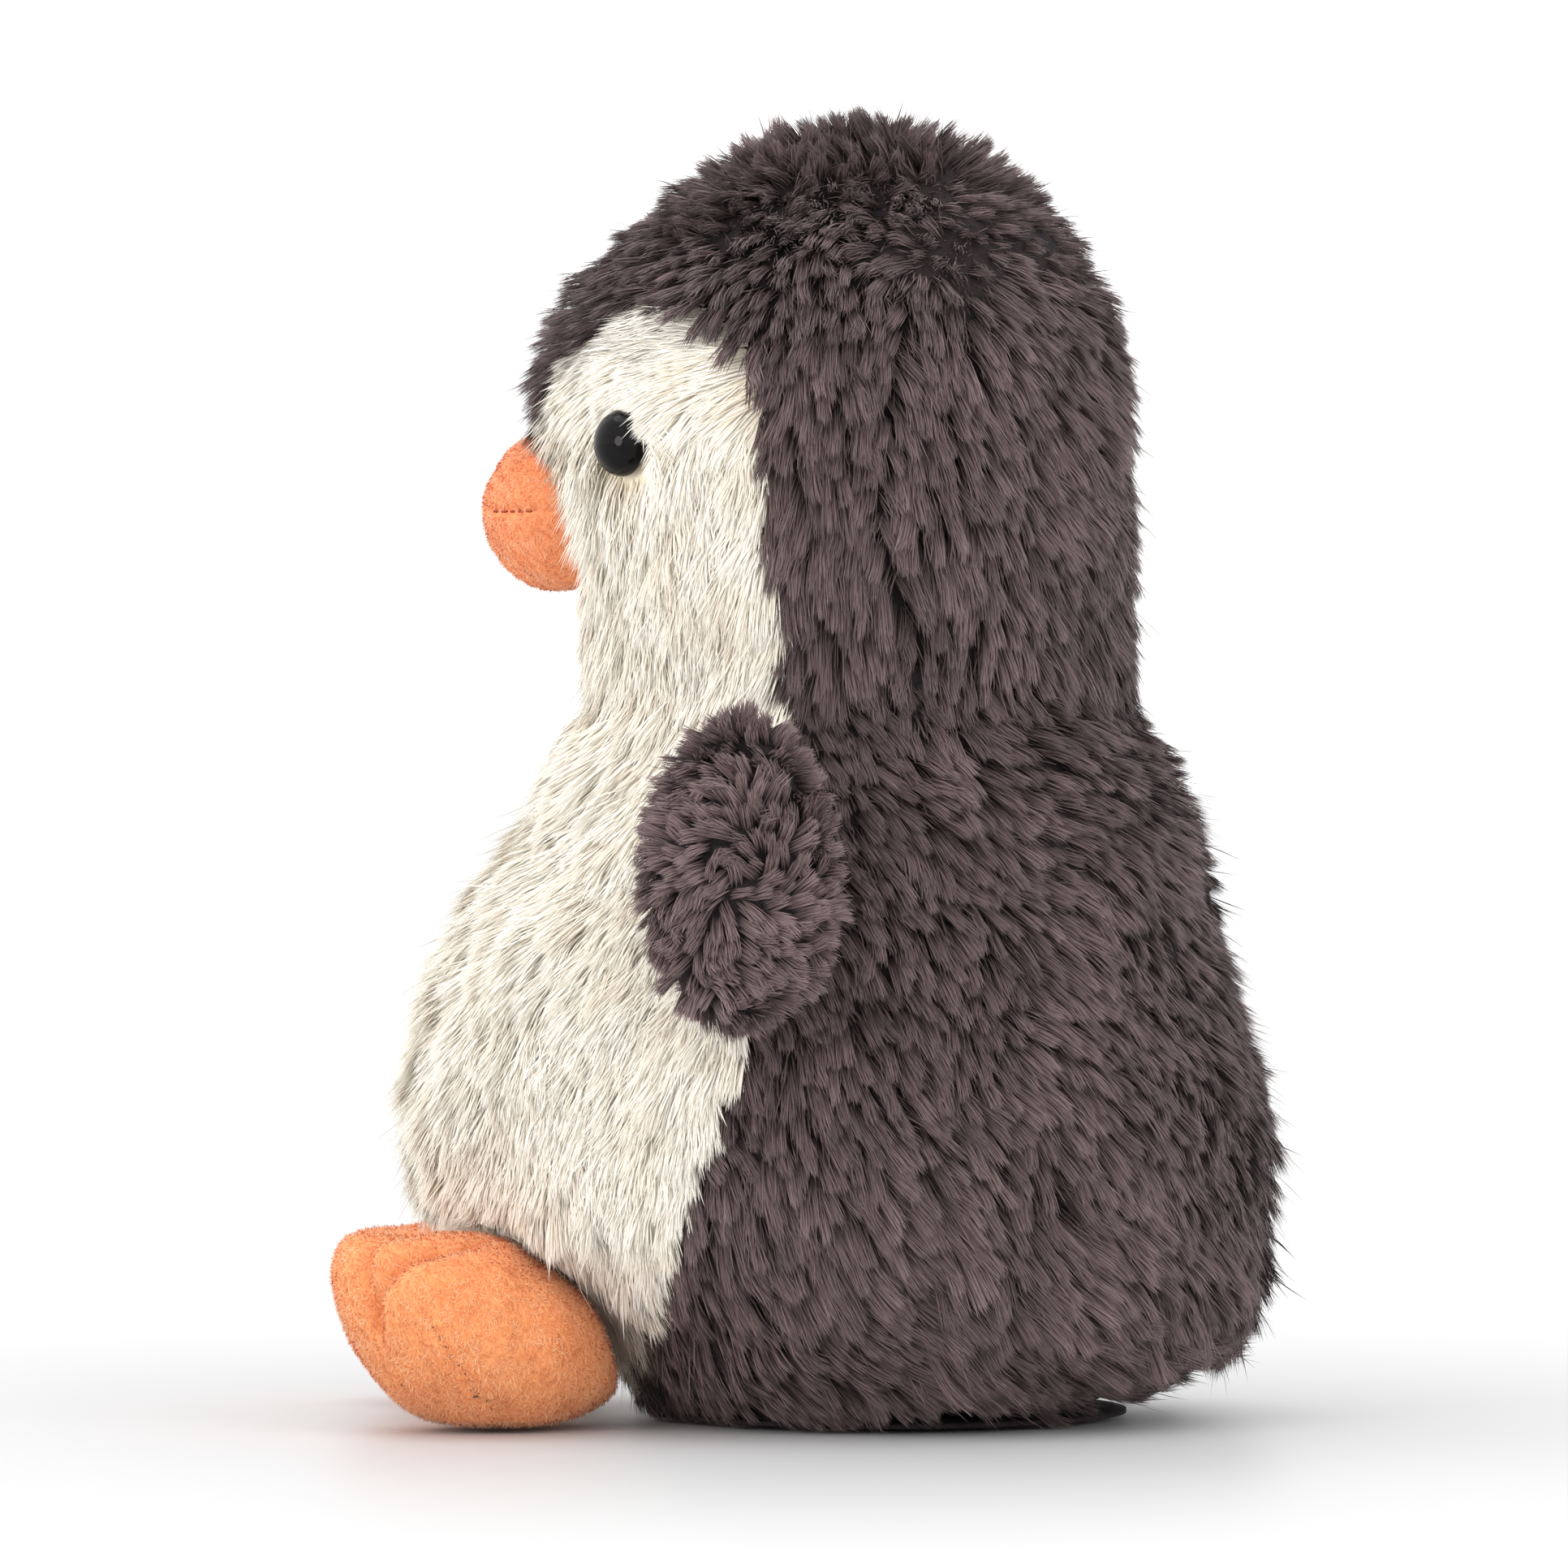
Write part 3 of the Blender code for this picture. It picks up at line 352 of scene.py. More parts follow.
def strands(name, points, across, width, tone, mat, out, soft, taper=(1.0, 0.95, 0.8, 0.0), twice=None):
    """One mesh of flat tapering fibres. points is (n, 4, 3) in mm, across the unit side direction of each.
    soft is how far the fibres are shaded by the lie of the cloth under them and not each by its own side."""
    tangent = unit(points[:, 2] - points[:, 0])
    facing = np.cross(across, tangent)
    # The front of each fibre is the side seen by someone who stands beside the toy and looks at it.
    seen = unit(unit(out * np.array((1.0, 1.0, 0.0)) + 1e-6) + out * 0.25 + np.array((0.0, 0.0, 0.22)))
    turn = np.sign(np.sum(facing * seen, -1, keepdims=True))
    turn[turn == 0] = 1
    across, facing = across * turn, facing * turn
    if twice is not None:
        # Fibres that are looked at from both sides get a second face on their back.
        k = np.flatnonzero(twice)
        points = np.concatenate([points, points[k] - facing[k][:, None, :] * 0.02])
        across, facing = np.concatenate([across, -across[k]]), np.concatenate([facing, -facing[k]])
        width, tone, out = np.concatenate([width, width[k]]), np.concatenate([tone, tone[k]]), np.concatenate([out, out[k]])
    n, steps = points.shape[0], points.shape[1]
    per = 2 * (steps - 1) + 1
    half = (width[:, None] * np.array(taper)[None, : steps - 1] / 2)[..., None]
    co = np.empty((n, per, 3), np.float32)
    left = points[:, :-1] - across[:, None, :] * half
    right = points[:, :-1] + across[:, None, :] * half
    co[:, 0:per - 1:2] = left * MM
    co[:, 1:per - 1:2] = right * MM
    co[:, per - 1] = points[:, -1] * MM
    loops = []
    sizes = []
    for k in range(steps - 2):
        loops += [2 * k, 2 * k + 1, 2 * k + 3, 2 * k + 2]
        sizes.append(4)
    loops += [2 * (steps - 2), 2 * (steps - 2) + 1, per - 1]
    sizes.append(3)
    loops, sizes = np.array(loops), np.array(sizes)
    all_loops = (loops[None, :] + (np.arange(n) * per)[:, None]).ravel().astype(np.int32)
    all_sizes = np.tile(sizes, n)
    starts = np.concatenate([[0], np.cumsum(all_sizes)[:-1]]).astype(np.int32)
    mesh = bpy.data.meshes.new(name)
    mesh.vertices.add(n * per)
    mesh.vertices.foreach_set("co", co.ravel())
    mesh.loops.add(len(all_loops))
    mesh.loops.foreach_set("vertex_index", all_loops)
    mesh.polygons.add(len(all_sizes))
    mesh.polygons.foreach_set("loop_start", starts)
    mesh.update(calc_edges=True)
    v = np.zeros(per)
    for k in range(steps - 1):
        v[2 * k] = v[2 * k + 1] = k / (steps - 1)
    v[per - 1] = 1.0
    u = np.zeros(per)
    u[0:per - 1:2], u[1:per - 1:2], u[per - 1] = -0.004, 0.004, 0.0
    uv = np.empty((n, len(loops), 2), np.float32)
    uv[:, :, 0] = np.clip(tone, 0.006, 0.994)[:, None] + u[loops][None, :]
    uv[:, :, 1] = v[loops][None, :]
    layer = mesh.uv_layers.new(name="OFBake")
    layer.data.foreach_set("uv", uv.ravel())
    mesh.polygons.foreach_set("use_smooth", np.ones(len(all_sizes), bool))
    mesh.materials.append(mat)
    mesh.validate()
    normals = unit(out * soft + facing * (1 - soft))
    mesh.normals_split_custom_set_from_vertices(np.repeat(normals, per, axis=0).astype(np.float32))
    obj = bpy.data.objects.new(name, mesh)
    bpy.context.collection.objects.link(obj)
    return obj


class Fur:
    """Tufts of pile, worked out as arrays: every tuft is a bundle of fibres that leave the cloth upright and lie over."""

    def __init__(self, seed):
        self.rng = np.random.default_rng(seed)

    def grow(self, root, out, way, length, rise, lie, count, spread, gather, width, tone, jitter=0.055, stray=0.02, wild=1.0, rolled=0.7):
        """root, out, way are (m, 3); length, rise, lie and tone are (m,). rise and lie are angles off the cloth in radians.
        spread is how far a lock's roots reach sideways and lengthways, and gather how much its fibres close up."""
        rng, m = self.rng, len(root)
        rows = np.repeat(np.arange(m), count)
        n = len(rows)
        cross = unit(np.cross(out, way))
        radius = np.sqrt(rng.uniform(0, 1, n))
        turn = rng.uniform(0, 2 * np.pi, n)
        broad = rng.uniform(0.8, 1.2, m)[rows]
        fore, side = radius * np.cos(turn) * spread[1], radius * np.sin(turn) * spread[0] * broad
        o, w, c = out[rows], way[rows], cross[rows]
        heading = rng.normal(0, 0.055 * wild, n)
        w2 = unit(w * np.cos(heading)[:, None] + c * np.sin(heading)[:, None])
        c2 = unit(np.cross(o, w2))
        # The end of a lock is cut nearly square, a little longer in its middle.
        reach = length[rows] * (1 + rng.normal(0, jitter, n)) - 0.75 * fore - 0.5 * (side / spread[0]) ** 2
        start = rise[rows] + rng.normal(0, 0.07 * wild, n)
        end = lie[rows] + rng.normal(0, 0.075 * wild, n)
        loose = rng.uniform(0, 1, n) < stray
        reach = np.where(loose, reach * rng.uniform(1.0, 1.3, n), reach)
        end = np.where(loose, end + rng.uniform(0.1, 0.5, n), end)
        stops = np.array((0.0, 0.34, 0.72, 1.0))
        grid = np.linspace(0, 1, 26)
        lean = start[:, None] + (end - start)[:, None] * grid[None, :] ** 0.7
        mids = (lean[:, 1:] + lean[:, :-1]) / 2
        high = np.concatenate([np.zeros((n, 1)), np.cumsum(np.sin(mids), 1)], 1) / 25
        far = np.concatenate([np.zeros((n, 1)), np.cumsum(np.cos(mids), 1)], 1) / 25
        take = np.round(stops * 25).astype(int)
        high, far = high[:, take] * reach[:, None], far[:, take] * reach[:, None]
        pull = 1 - gather * stops[None, :] * np.where(loose, 0.2, 1.0)[:, None]
        pull = pull * (1 + rng.normal(0, 0.10, n)[:, None] * stops[None, :])
        bow = rng.normal(0, 0.035, m)[rows]
        curl = (bow + rng.normal(0, 0.022 * wild, n))[:, None] * reach[:, None] * stops[None, :] ** 2
        points = (
            root[rows][:, None, :]
            + w[:, None, :] * (fore[:, None] * pull)[..., None]
            + c[:, None, :] * (side[:, None] * pull + curl)[..., None]
            + w2[:, None, :] * far[..., None]
            + o[:, None, :] * high[..., None]
        )
        tangent = unit(points[:, 2] - points[:, 0])
        roll = rng.uniform(-rolled, rolled, n)
        across = unit(c2 * np.cos(roll)[:, None] + np.cross(tangent, c2) * np.sin(roll)[:, None])
        across = unit(across - tangent * np.sum(across * tangent, -1, keepdims=True))
        shade = np.clip(tone[rows] + rng.normal(0, 0.12, n), 0, 1)
        return points, across, np.full(n, width) * rng.uniform(0.8, 1.2, n), shade, o


def ring_scatter(rng, spacing, low=0.0, high=float(TOP)):
    """Tuft roots over the whole envelope, in staggered rings an even distance apart."""
    fine = np.linspace(low, high, 1500)
    line = envelope(fine, np.full_like(fine, np.pi * 0.5))
    other = envelope(fine, np.full_like(fine, np.pi))
    step = (np.linalg.norm(np.diff(line, axis=0), axis=1) + np.linalg.norm(np.diff(other, axis=0), axis=1)) / 2
    path = np.concatenate([[0], np.cumsum(step)])
    rows = int(path[-1] / spacing)
    ts, angles = [], []
    for k in range(rows + 1):
        t = np.interp((k + 0.5) * spacing, path, fine)
        sweep = np.linspace(-np.pi, np.pi, 721)
        ring = envelope(np.full_like(sweep, t), sweep)
        arc = np.concatenate([[0], np.cumsum(np.linalg.norm(np.diff(ring, axis=0), axis=1))])
        number = max(int(arc[-1] / spacing), 1)
        at = (np.arange(number) + rng.uniform(0, 1) + rng.uniform(-0.38, 0.38, number)) / number * arc[-1] % arc[-1]
        ts.append(np.interp(np.clip((k + 0.5) * spacing + rng.uniform(-0.42, 0.42, number) * spacing, 0, path[-1]), path, fine))
        angles.append(np.interp(at, arc, sweep))
    return np.concatenate(ts), np.concatenate(angles)


def on_mesh(rng, vertices, faces, number):
    """Random points over a surface of quads and triangles, with its smooth outward directions."""
    vertices = np.asarray(vertices, float)
    tris = np.array([(f[0], f[k], f[k + 1]) for f in faces for k in range(1, len(f) - 1)])
    p = vertices[tris]
    cross = np.cross(p[:, 1] - p[:, 0], p[:, 2] - p[:, 0])
    if np.sum(np.einsum("ij,ij->i", p[:, 0], cross)) < 0:
        cross = -cross
    normals = np.zeros_like(vertices)
    for k in range(3):
        np.add.at(normals, tris[:, k], cross)
    normals = unit(normals)
    area = np.linalg.norm(cross, axis=1)
    pick = rng.choice(len(tris), number, p=area / area.sum())
    u, v = rng.uniform(0, 1, (2, number))
    flip = u + v > 1
    u, v = np.where(flip, 1 - u, u), np.where(flip, 1 - v, v)
    weights = np.stack([1 - u - v, u, v], 1)[..., None]
    return (p[pick] * weights).sum(1), unit((normals[tris[pick]] * weights).sum(1)), area.sum() / 2


def thin_out(points, spacing):
    """Numbers of the points to keep so that no two are closer than the spacing."""
    cells, keep = {}, []
    keys = np.floor(points / spacing).astype(int)
    for i, (key, p) in enumerate(zip(map(tuple, keys), points)):
        near = False
        for dx in (-1, 0, 1):
            for dy in (-1, 0, 1):
                for dz in (-1, 0, 1):
                    for q in cells.get((key[0] + dx, key[1] + dy, key[2] + dz), ()):
                        if ((q - p) ** 2).sum() < spacing * spacing:
                            near = True
        if not near:
            cells.setdefault(key, []).append(p)
            keep.append(i)
    return np.array(keep)


def along_surface(wanted, out):
    """The wanted directions laid into the surface."""
    return unit(wanted - out * np.sum(wanted * out, -1, keepdims=True))


def turned(way, out, angle):
    cross = np.cross(out, way)
    return unit(way * np.cos(angle)[:, None] + cross * np.sin(angle)[:, None])


# ---------------------------------------------------------------- forms of the limbs
def rotation(axis, degrees):
    return np.array(Matrix.Rotation(math.radians(degrees), 3, axis))


FOOT_TURN = {side: rotation("Z", FOOT_SPLAY) @ rotation("X", -FOOT_TILT[side]) for side in (1, -1)}
MIRROR = np.array((-1.0, 1.0, 1.0))


def foot_local(points, side):
    """Points in the foot's own frame, as shares of its half width, half length and half thickness."""
    p = points * (MIRROR if side < 0 else 1.0) - FOOT_CENTRE
    return (p @ FOOT_TURN[side]) / FOOT_R


def clear_of_feet(points, margin):
    """Moves points that lie in a foot out onto its surface."""
    for side in (1, -1):
        local = foot_local(points, side)
        reach = np.linalg.norm(local, axis=-1, keepdims=True)
        out = np.where(reach < margin, local * margin / np.maximum(reach, 1e-6), local)
        moved = (out * FOOT_R) @ FOOT_TURN[side].T + FOOT_CENTRE
        points = np.where(reach < margin, moved * (MIRROR if side < 0 else 1.0), points)
    return points


def in_feet(points, margin):
    return np.any([np.linalg.norm(foot_local(points, side), axis=-1) < margin for side in (1, -1)], axis=0)


def beak_share(points):
    return np.linalg.norm((points - BEAK_CENTRE) / BEAK_R, axis=-1)


def eye_place(side):
    z, middle, depth, half = rings_at(ring_number(EYE_Z))
    angle = math.acos((middle - EYE_Y) / depth)
    surface = np.array((side * half * math.sin(angle), EYE_Y, EYE_Z))
    out = unit(np.array((side * math.sin(angle) / half, -math.cos(angle) / depth, 0.0)))
    return surface, out


TOE_GROOVES = {"inner": ((-90, 22), (-35, 20), (-13, 14.5), (20, 9), (60, -2), (90, -6)),
               "outer": ((-90, 18), (-35, 20), (-13, 26), (20, 38), (60, 52), (90, 58))}


def foot_at(side, lat, lon, shrink=0.0, lift=0.0):
    """Points of the foot pad: a plump cushion, deep at the sole, whose front is drawn in by two grooves between three
    toes. lon 0 is the long axis of the foot, and 90 degrees the outer side. The toes fan out from the sole upwards."""
    lat, lon = np.broadcast_arrays(np.asarray(lat, float), np.asarray(lon, float))
    around = np.arctan2(np.sin(lon), np.cos(lon))
    turn, high = np.degrees(around), np.degrees(lat)
    groove = 0.0
    for line in TOE_GROOVES.values():
        gap = (turn - curve(line, high)) * np.cos(lat) ** 0.6
        # A soft valley with a tight crease at its bottom.
        groove = groove + np.exp(-((gap / 5.5) ** 2)) * 0.085 + np.exp(-((gap / 1.9) ** 2)) * 0.035
    groove = groove * smooth(high, -52, -22) * (1 - smooth(high, 46, 78))
    middle = (curve(TOE_GROOVES["inner"], high) + curve(TOE_GROOVES["outer"], high)) / 2
    toe = 0.05 * np.exp(-(((turn - middle) / 9.0) ** 2)) + 0.035 * np.exp(-(((turn - middle - 36) / 14.0) ** 2)) + 0.05 * np.exp(-(((turn - middle + 30) / 14.0) ** 2))
    toe = toe * smooth(high, -55, -15) * (1 - smooth(high, 40, 75))
    shape = np.stack([np.cos(lat) * np.sin(around), -np.cos(lat) * np.cos(around), np.sin(lat)], -1)
    dart_lat = np.interp(turn, (48, 52, 67, 82, 100, 108), (-20, -24, -35, -45, -50, -52))
    dart = np.exp(-(((high - dart_lat) / 1.5) ** 2)) * smooth(turn, 46, 54) * (1 - smooth(turn, 98, 108))
    rim = 1 - 0.012 * np.exp(-(((high - 6) / 4.0) ** 2)) - 0.032 * dart  # seams that draw the cloth in
    deep = np.where(shape[..., 2] > 0, 13.9, 19.6)
    radii = np.stack([np.full_like(deep, FOOT_R[0]), np.full_like(deep, FOOT_R[1]), deep], -1)
    local = shape * (radii - shrink + lift) * ((1 - groove + toe) * rim)[..., None]
    ahead = -local[..., 1] / FOOT_R[1]
    # The instep runs straight down to the toe tips, and the sole tapers to the heel.
    pinch = np.where(shape[..., 2] > 0, 1 - 0.46 * smooth(ahead, 0.15, 1.0), 1 - 0.10 * smooth(ahead, 0.3, 0.9))
    local[..., 2] *= pinch * (1 - 0.5 * smooth(-ahead, 0.35, 1.05))
    flat = local.reshape(-1, 3)
    flat = flat + 0.3 * wave_noise(flat, 15.0, 31)[:, None] * unit(flat)
    flat = flat @ FOOT_TURN[side].T + FOOT_CENTRE
    level = 0.9 + shrink
    flat[:, 2] = np.where(flat[:, 2] < level + 1.5, level + 1.5 * np.exp((flat[:, 2] - level - 1.5) / 2.2), flat[:, 2])  # it sits on the floor
    if side < 0:
        flat = flat * MIRROR
    return flat.reshape(local.shape)


def foot_surface(side, rows=64, cols=168, shrink=0.0):
    lat = np.linspace(-math.pi / 2, math.pi / 2, rows + 1)[:, None]
    lon = np.linspace(0, 2 * math.pi, cols, endpoint=False)[None, :]
    return foot_at(side, lat, lon, shrink).reshape(-1, 3), rows, cols


def closed_rows(rows, cols):
    """Faces of a ball-like grid whose first and last rows are poles of coincident points."""
    faces = []
    for i in range(rows):
        for j in range(cols):
            k = (j + 1) % cols
            faces.append((i * cols + j, i * cols + k, (i + 1) * cols + k, (i + 1) * cols + j))
    return faces


def ball_mesh(points, rows, cols):
    """Joins the coincident pole points of a ball-like grid and gives clean faces."""
    south, north = points[:cols].mean(0), points[rows * cols:(rows + 1) * cols].mean(0)
    inner = points[cols:rows * cols]
    vertices = np.vstack([[south], inner, [north]])
    last = len(vertices) - 1
    faces = []
    for j in range(cols):
        k = (j + 1) % cols
        faces.append((0, 1 + k, 1 + j))
        faces.append((last, last - cols + j, last - cols + k))
    for i in range(rows - 2):
        for j in range(cols):
            k = (j + 1) % cols
            a = 1 + i * cols
            faces.append((a + j, a + k, a + cols + k, a + cols + j))
    return vertices, faces


def beak_surface(rows=60, cols=96):
    """Beak: a blunt, full dome with a sewn crease for the mouth."""
    u = np.linspace(-0.55, 1.0, rows + 1)[:, None] + np.zeros(cols)[None, :]
    turn = np.linspace(0, 2 * math.pi, cols, endpoint=False)[None, :] + np.zeros(rows + 1)[:, None]
    ring = np.clip(1 - u**2, 0, 1) ** np.where(np.sin(turn) > 0, 0.57, 0.51)
    local = np.stack([ring * np.cos(turn), -u, ring * np.sin(turn)], -1) * (BEAK_R + np.array((0.2, 1.2, 0.2)))
    points = local.reshape(-1, 3)
    points[:, 2] *= np.where(points[:, 2] > 0, 1.0, 0.97)
    points = points + BEAK_CENTRE
    away = points - BEAK_CENTRE
    height = points[:, 2] - 161.3
    around = np.abs(np.arctan2(points[:, 0], -away[:, 1]))
    # The sewn line of the mouth is drawn in on the cheeks and hardly at all at the very front.
    drawn = 0.04 + 0.96 * smooth(around, 0.3, 0.7)
    bulge = 0.30 * np.exp(-((np.abs(height) - 2.2) / 1.5) ** 2)
    crease = 0.60 * np.exp(-(height / 0.55) ** 2) + 0.20 * np.exp(-(height / 1.3) ** 2)
    dimples = 0.30 * np.exp(-(height / 0.8) ** 2) * (0.5 + 0.5 * np.cos(np.arctan2(points[:, 0], -away[:, 1]) * 26))
    front = smooth(-away[:, 1], -1, 2)
    points += unit(away) * ((bulge - crease - dimples) * front * drawn + 0.2 * wave_noise(points, 7.0, 12))[:, None]
    return points, rows, cols


def wing_surface(side, rows=44, cols=72, shrink=0.0, start=0.0):
    """Wing pad, lofted from the flat seam at the flank to its full round tip."""
    s = start + (1 - start) * (1 - (1 - np.linspace(0, 1, rows + 1)) ** 1.7)
    turn = np.linspace(0, 2 * math.pi, cols, endpoint=False)
    lean = unit(WING_SEAM[None, :] * (1 - s)[:, None] + unit(np.array((-0.1, 0, 1)))[None, :] * s[:, None])
    tip = np.sqrt(np.clip(1 - np.clip((s - 0.55) / 0.45, 0, 1) ** 2.6, 0, 1))
    tall = np.where(s < 0.55, curve(WING_TALL, s), 27.4 * tip) - shrink * 1.0
    thick = np.where(s < 0.62, curve(WING_THICK, s), np.interp(s, (0.62, 1), (17.4, 17.4)) * np.sqrt(np.clip(1 - np.clip((s - 0.58) / 0.42, 0, 1) ** 2.6, 0, 1))) - shrink
    tall, thick = np.maximum(tall, 0.01), np.maximum(thick, 0.01)
    centre = WING_ROOT + WING_DIR * (WING_LENGTH * s - shrink * smooth(s, 0.5, 1.0))[:, None]
    points = (centre[:, None, :] + lean[:, None, :] * (tall[:, None] * np.cos(turn))[..., None]
              + np.array((0.0, 1.0, 0.0)) * (thick[:, None] * np.sin(turn))[..., None]).reshape(-1, 3)
    points[:, 2] -= np.repeat(1.6 * s, cols)
    if side < 0:
        points = points * MIRROR
    return points, rows, cols


def patch(name, low, high, left, right, mat, rows=40, cols=40, keep_out=True):
    """A sewn panel of thin cloth on the envelope between two heights and two seams, its edges turned in."""
    t = np.linspace(low, high, rows + 1)
    z = rings_at(t)[0]
    start, end = left(z), right(z)
    w = np.linspace(0, 1, cols + 1)
    tt = np.repeat(t[:, None], cols + 1, 1)
    aa = start[:, None] * (1 - w) + end[:, None] * w
    points, out, _, _ = envelope_frame(tt.ravel(), aa.ravel())
    edge = np.minimum(w, 1 - w)[None, :] * (np.abs(end - start)[:, None]) * 45.0
    tuck = 1.1 * np.exp(-(edge / 1.6) ** 2).ravel()
    soft = 0.35 * wave_noise(points, 26.0, 5)
    layers = []
    for deep in (SKIN_OUT, SKIN_IN):
        layer = points - out * (deep + tuck - soft)[:, None]
        layer[:, 2] = np.maximum(layer[:, 2], 1.2 if deep == SKIN_OUT else 1.9)
        if keep_out:
            layer = clear_of_feet(layer, 1.10 if deep == SKIN_OUT else 1.14)
        layers.append(layer)
    n = (rows + 1) * (cols + 1)
    faces = []
    for i in range(rows):
        for j in range(cols):
            a, b = i * (cols + 1) + j, i * (cols + 1) + j + 1
            c, d = b + cols + 1, a + cols + 1
            faces += [(a, b, c, d), (n + a, n + d, n + c, n + b)]
    ring = ([(0, j) for j in range(cols)] + [(i, cols) for i in range(rows)]
            + [(rows, j) for j in range(cols, 0, -1)] + [(i, 0) for i in range(rows, 0, -1)])
    index = [i * (cols + 1) + j for i, j in ring]
    for a, b in zip(index, index[1:] + index[:1]):
        faces.append((b, a, n + a, n + b))
    return mesh_piece(name, np.vstack(layers), faces, mat)


def constant(value):
    return lambda z: np.full_like(np.asarray(z, float), value)


def cap(name, low, mat, rows=28, cols=96):
    """The top of the hood, closed over the crown."""
    t = low + (TOP - 0.02 - low) * (1 - (1 - np.linspace(0, 1, rows)) ** 1.5)
    a = np.linspace(-math.pi, math.pi, cols, endpoint=False)
    tt, aa = np.repeat(t[:, None], cols, 1).ravel(), np.tile(a, rows)
    points, out, _, _ = envelope_frame(tt, aa)
    vertices, faces = [], []
    for deep in (SKIN_OUT, SKIN_IN):
        layer = points - out * deep
        vertices += [layer, [layer[-cols:].mean(0)]]
    per = rows * cols + 1
    for shell in (0, 1):
        base = shell * per
        for i in range(rows - 1):
            for j in range(cols):
                k = (j + 1) % cols
                quad = (base + i * cols + j, base + i * cols + k, base + (i + 1) * cols + k, base + (i + 1) * cols + j)
                faces.append(quad if shell == 0 else quad[::-1])
        for j in range(cols):
            k = (j + 1) % cols
            top = (base + (rows - 1) * cols + j, base + (rows - 1) * cols + k, base + rows * cols)
            faces.append(top if shell == 0 else top[::-1])
    for j in range(cols):
        k = (j + 1) % cols
        faces.append((k, j, per + j, per + k))
    return mesh_piece(name, np.vstack(vertices), faces, mat)


def turned_piece(name, profile, origin, axis, mat, segments=64, side=1):
    """A solid of revolution from (radius, height) pairs that start and end on the axis."""
    turn = np.array(Vector((0, 0, 1)).rotation_difference(Vector(axis)).to_matrix())
    vertices, faces = [], []
    a = np.linspace(0, 2 * math.pi, segments, endpoint=False)
    vertices.append(turn @ np.array((0, 0, profile[0][1])) + origin)
    for radius, height in profile[1:-1]:
        ring = np.stack([radius * np.cos(a), radius * np.sin(a), np.full(segments, height)], 1)
        vertices += list(ring @ turn.T + origin)
    vertices.append(turn @ np.array((0, 0, profile[-1][1])) + origin)
    last = len(vertices) - 1
    count = len(profile) - 2
    for j in range(segments):
        k = (j + 1) % segments
        faces.append((0, 1 + j, 1 + k))
        faces.append((last, 1 + (count - 1) * segments + k, 1 + (count - 1) * segments + j))
        for i in range(count - 1):
            b = 1 + i * segments
            faces.append((b + j, b + segments + j, b + segments + k, b + k))
    return mesh_piece(name, vertices, faces, mat, smooth_angle=50)


def tube(paths, radius, sides=8):
    """Vertices and faces of closed round threads along several paths, each tapered in at its ends."""
    vertices, faces = [], []
    for path in paths:
        path = np.asarray(path, float)
        along = unit(np.gradient(path, axis=0))
        helper = unit(np.cross(along, (0.123, 0.456, 0.9)))
        other = np.cross(along, helper)
        n = len(path)
        base = len(vertices)
        a = np.linspace(0, 2 * math.pi, sides, endpoint=False)
        for i in range(n):
            r = radius * math.sqrt(max(1 - (2 * (i + 0.5) / n - 1) ** 6, 0.05))
            for q in a:
                vertices.append(path[i] + r * (helper[i] * math.cos(q) + other[i] * math.sin(q)))
        for i in range(n - 1):
            for j in range(sides):
                k = (j + 1) % sides
                faces.append((base + i * sides + j, base + i * sides + k, base + (i + 1) * sides + k, base + (i + 1) * sides + j))
        faces.append(tuple(base + j for j in range(sides))[::-1])
        faces.append(tuple(base + (n - 1) * sides + j for j in range(sides)))
    return vertices, faces


# ---------------------------------------------------------------- camera, floor and light
def add_camera():
    data = bpy.data.cameras.new("camera")
    data.sensor_width = 36.0
    distance, tall = 2.0, 0.2792
    data.lens = 36.0 * distance / tall
    data.clip_end = 50
    camera = bpy.data.objects.new("camera", data)
    bpy.context.collection.objects.link(camera)
    aim = Vector((0.0, -0.0044, 0.1128))
    lift = math.radians(1.0)
    camera.location = aim + Vector((math.cos(lift), 0.0, math.sin(lift))) * distance
    camera.rotation_euler = (aim - camera.location).to_track_quat("-Z", "Y").to_euler()
    bpy.context.scene.camera = camera


def add_floor():
    # Painted shade and glow: the floor is grey lit cloth near the toy and fades, from 0.11 to 0.32 m out, into a white
    # glow, painting the fall of light round its base.
    mat, tree, shader = new_material("pale_floor")
    at = tree.nodes.new("ShaderNodeTexCoord")
    length = tree.nodes.new("ShaderNodeVectorMath")
    length.operation = "LENGTH"
    tree.links.new(at.outputs["Object"], length.inputs[0])
    fade = tree.nodes.new("ShaderNodeMapRange")
    fade.interpolation_type = "SMOOTHSTEP"
    fade.inputs["From Min"].default_value = 0.11
    fade.inputs["From Max"].default_value = 0.32
    tree.links.new(length.outputs["Value"], fade.inputs["Value"])
    glow = tree.nodes.new("ShaderNodeEmission")
    glow.inputs["Color"].default_value = (1, 1, 1, 1)
    glow.inputs["Strength"].default_value = 1.02
    mix = tree.nodes.new("ShaderNodeMixShader")
    out = tree.nodes["Material Output"]
    tree.links.new(fade.outputs["Result"], mix.inputs["Fac"])
    tree.links.new(shader.outputs["BSDF"], mix.inputs[1])
    tree.links.new(glow.outputs["Emission"], mix.inputs[2])
    tree.links.new(mix.outputs["Shader"], out.inputs["Surface"])
    shader.inputs["Base Color"].default_value = (0.585, 0.585, 0.59, 1)
    shader.inputs["Roughness"].default_value = 0.45
    shader.inputs["Specular IOR Level"].default_value = 0.3
    size = 6.0
    mesh = bpy.data.meshes.new("floor")
    mesh.from_pydata([(-size, -size, 0), (size, -size, 0), (size, size, 0), (-size, size, 0)], [], [(0, 1, 2, 3)])
    mesh.materials.append(mat)
    floor = bpy.data.objects.new("floor", mesh)
    bpy.context.collection.objects.link(floor)


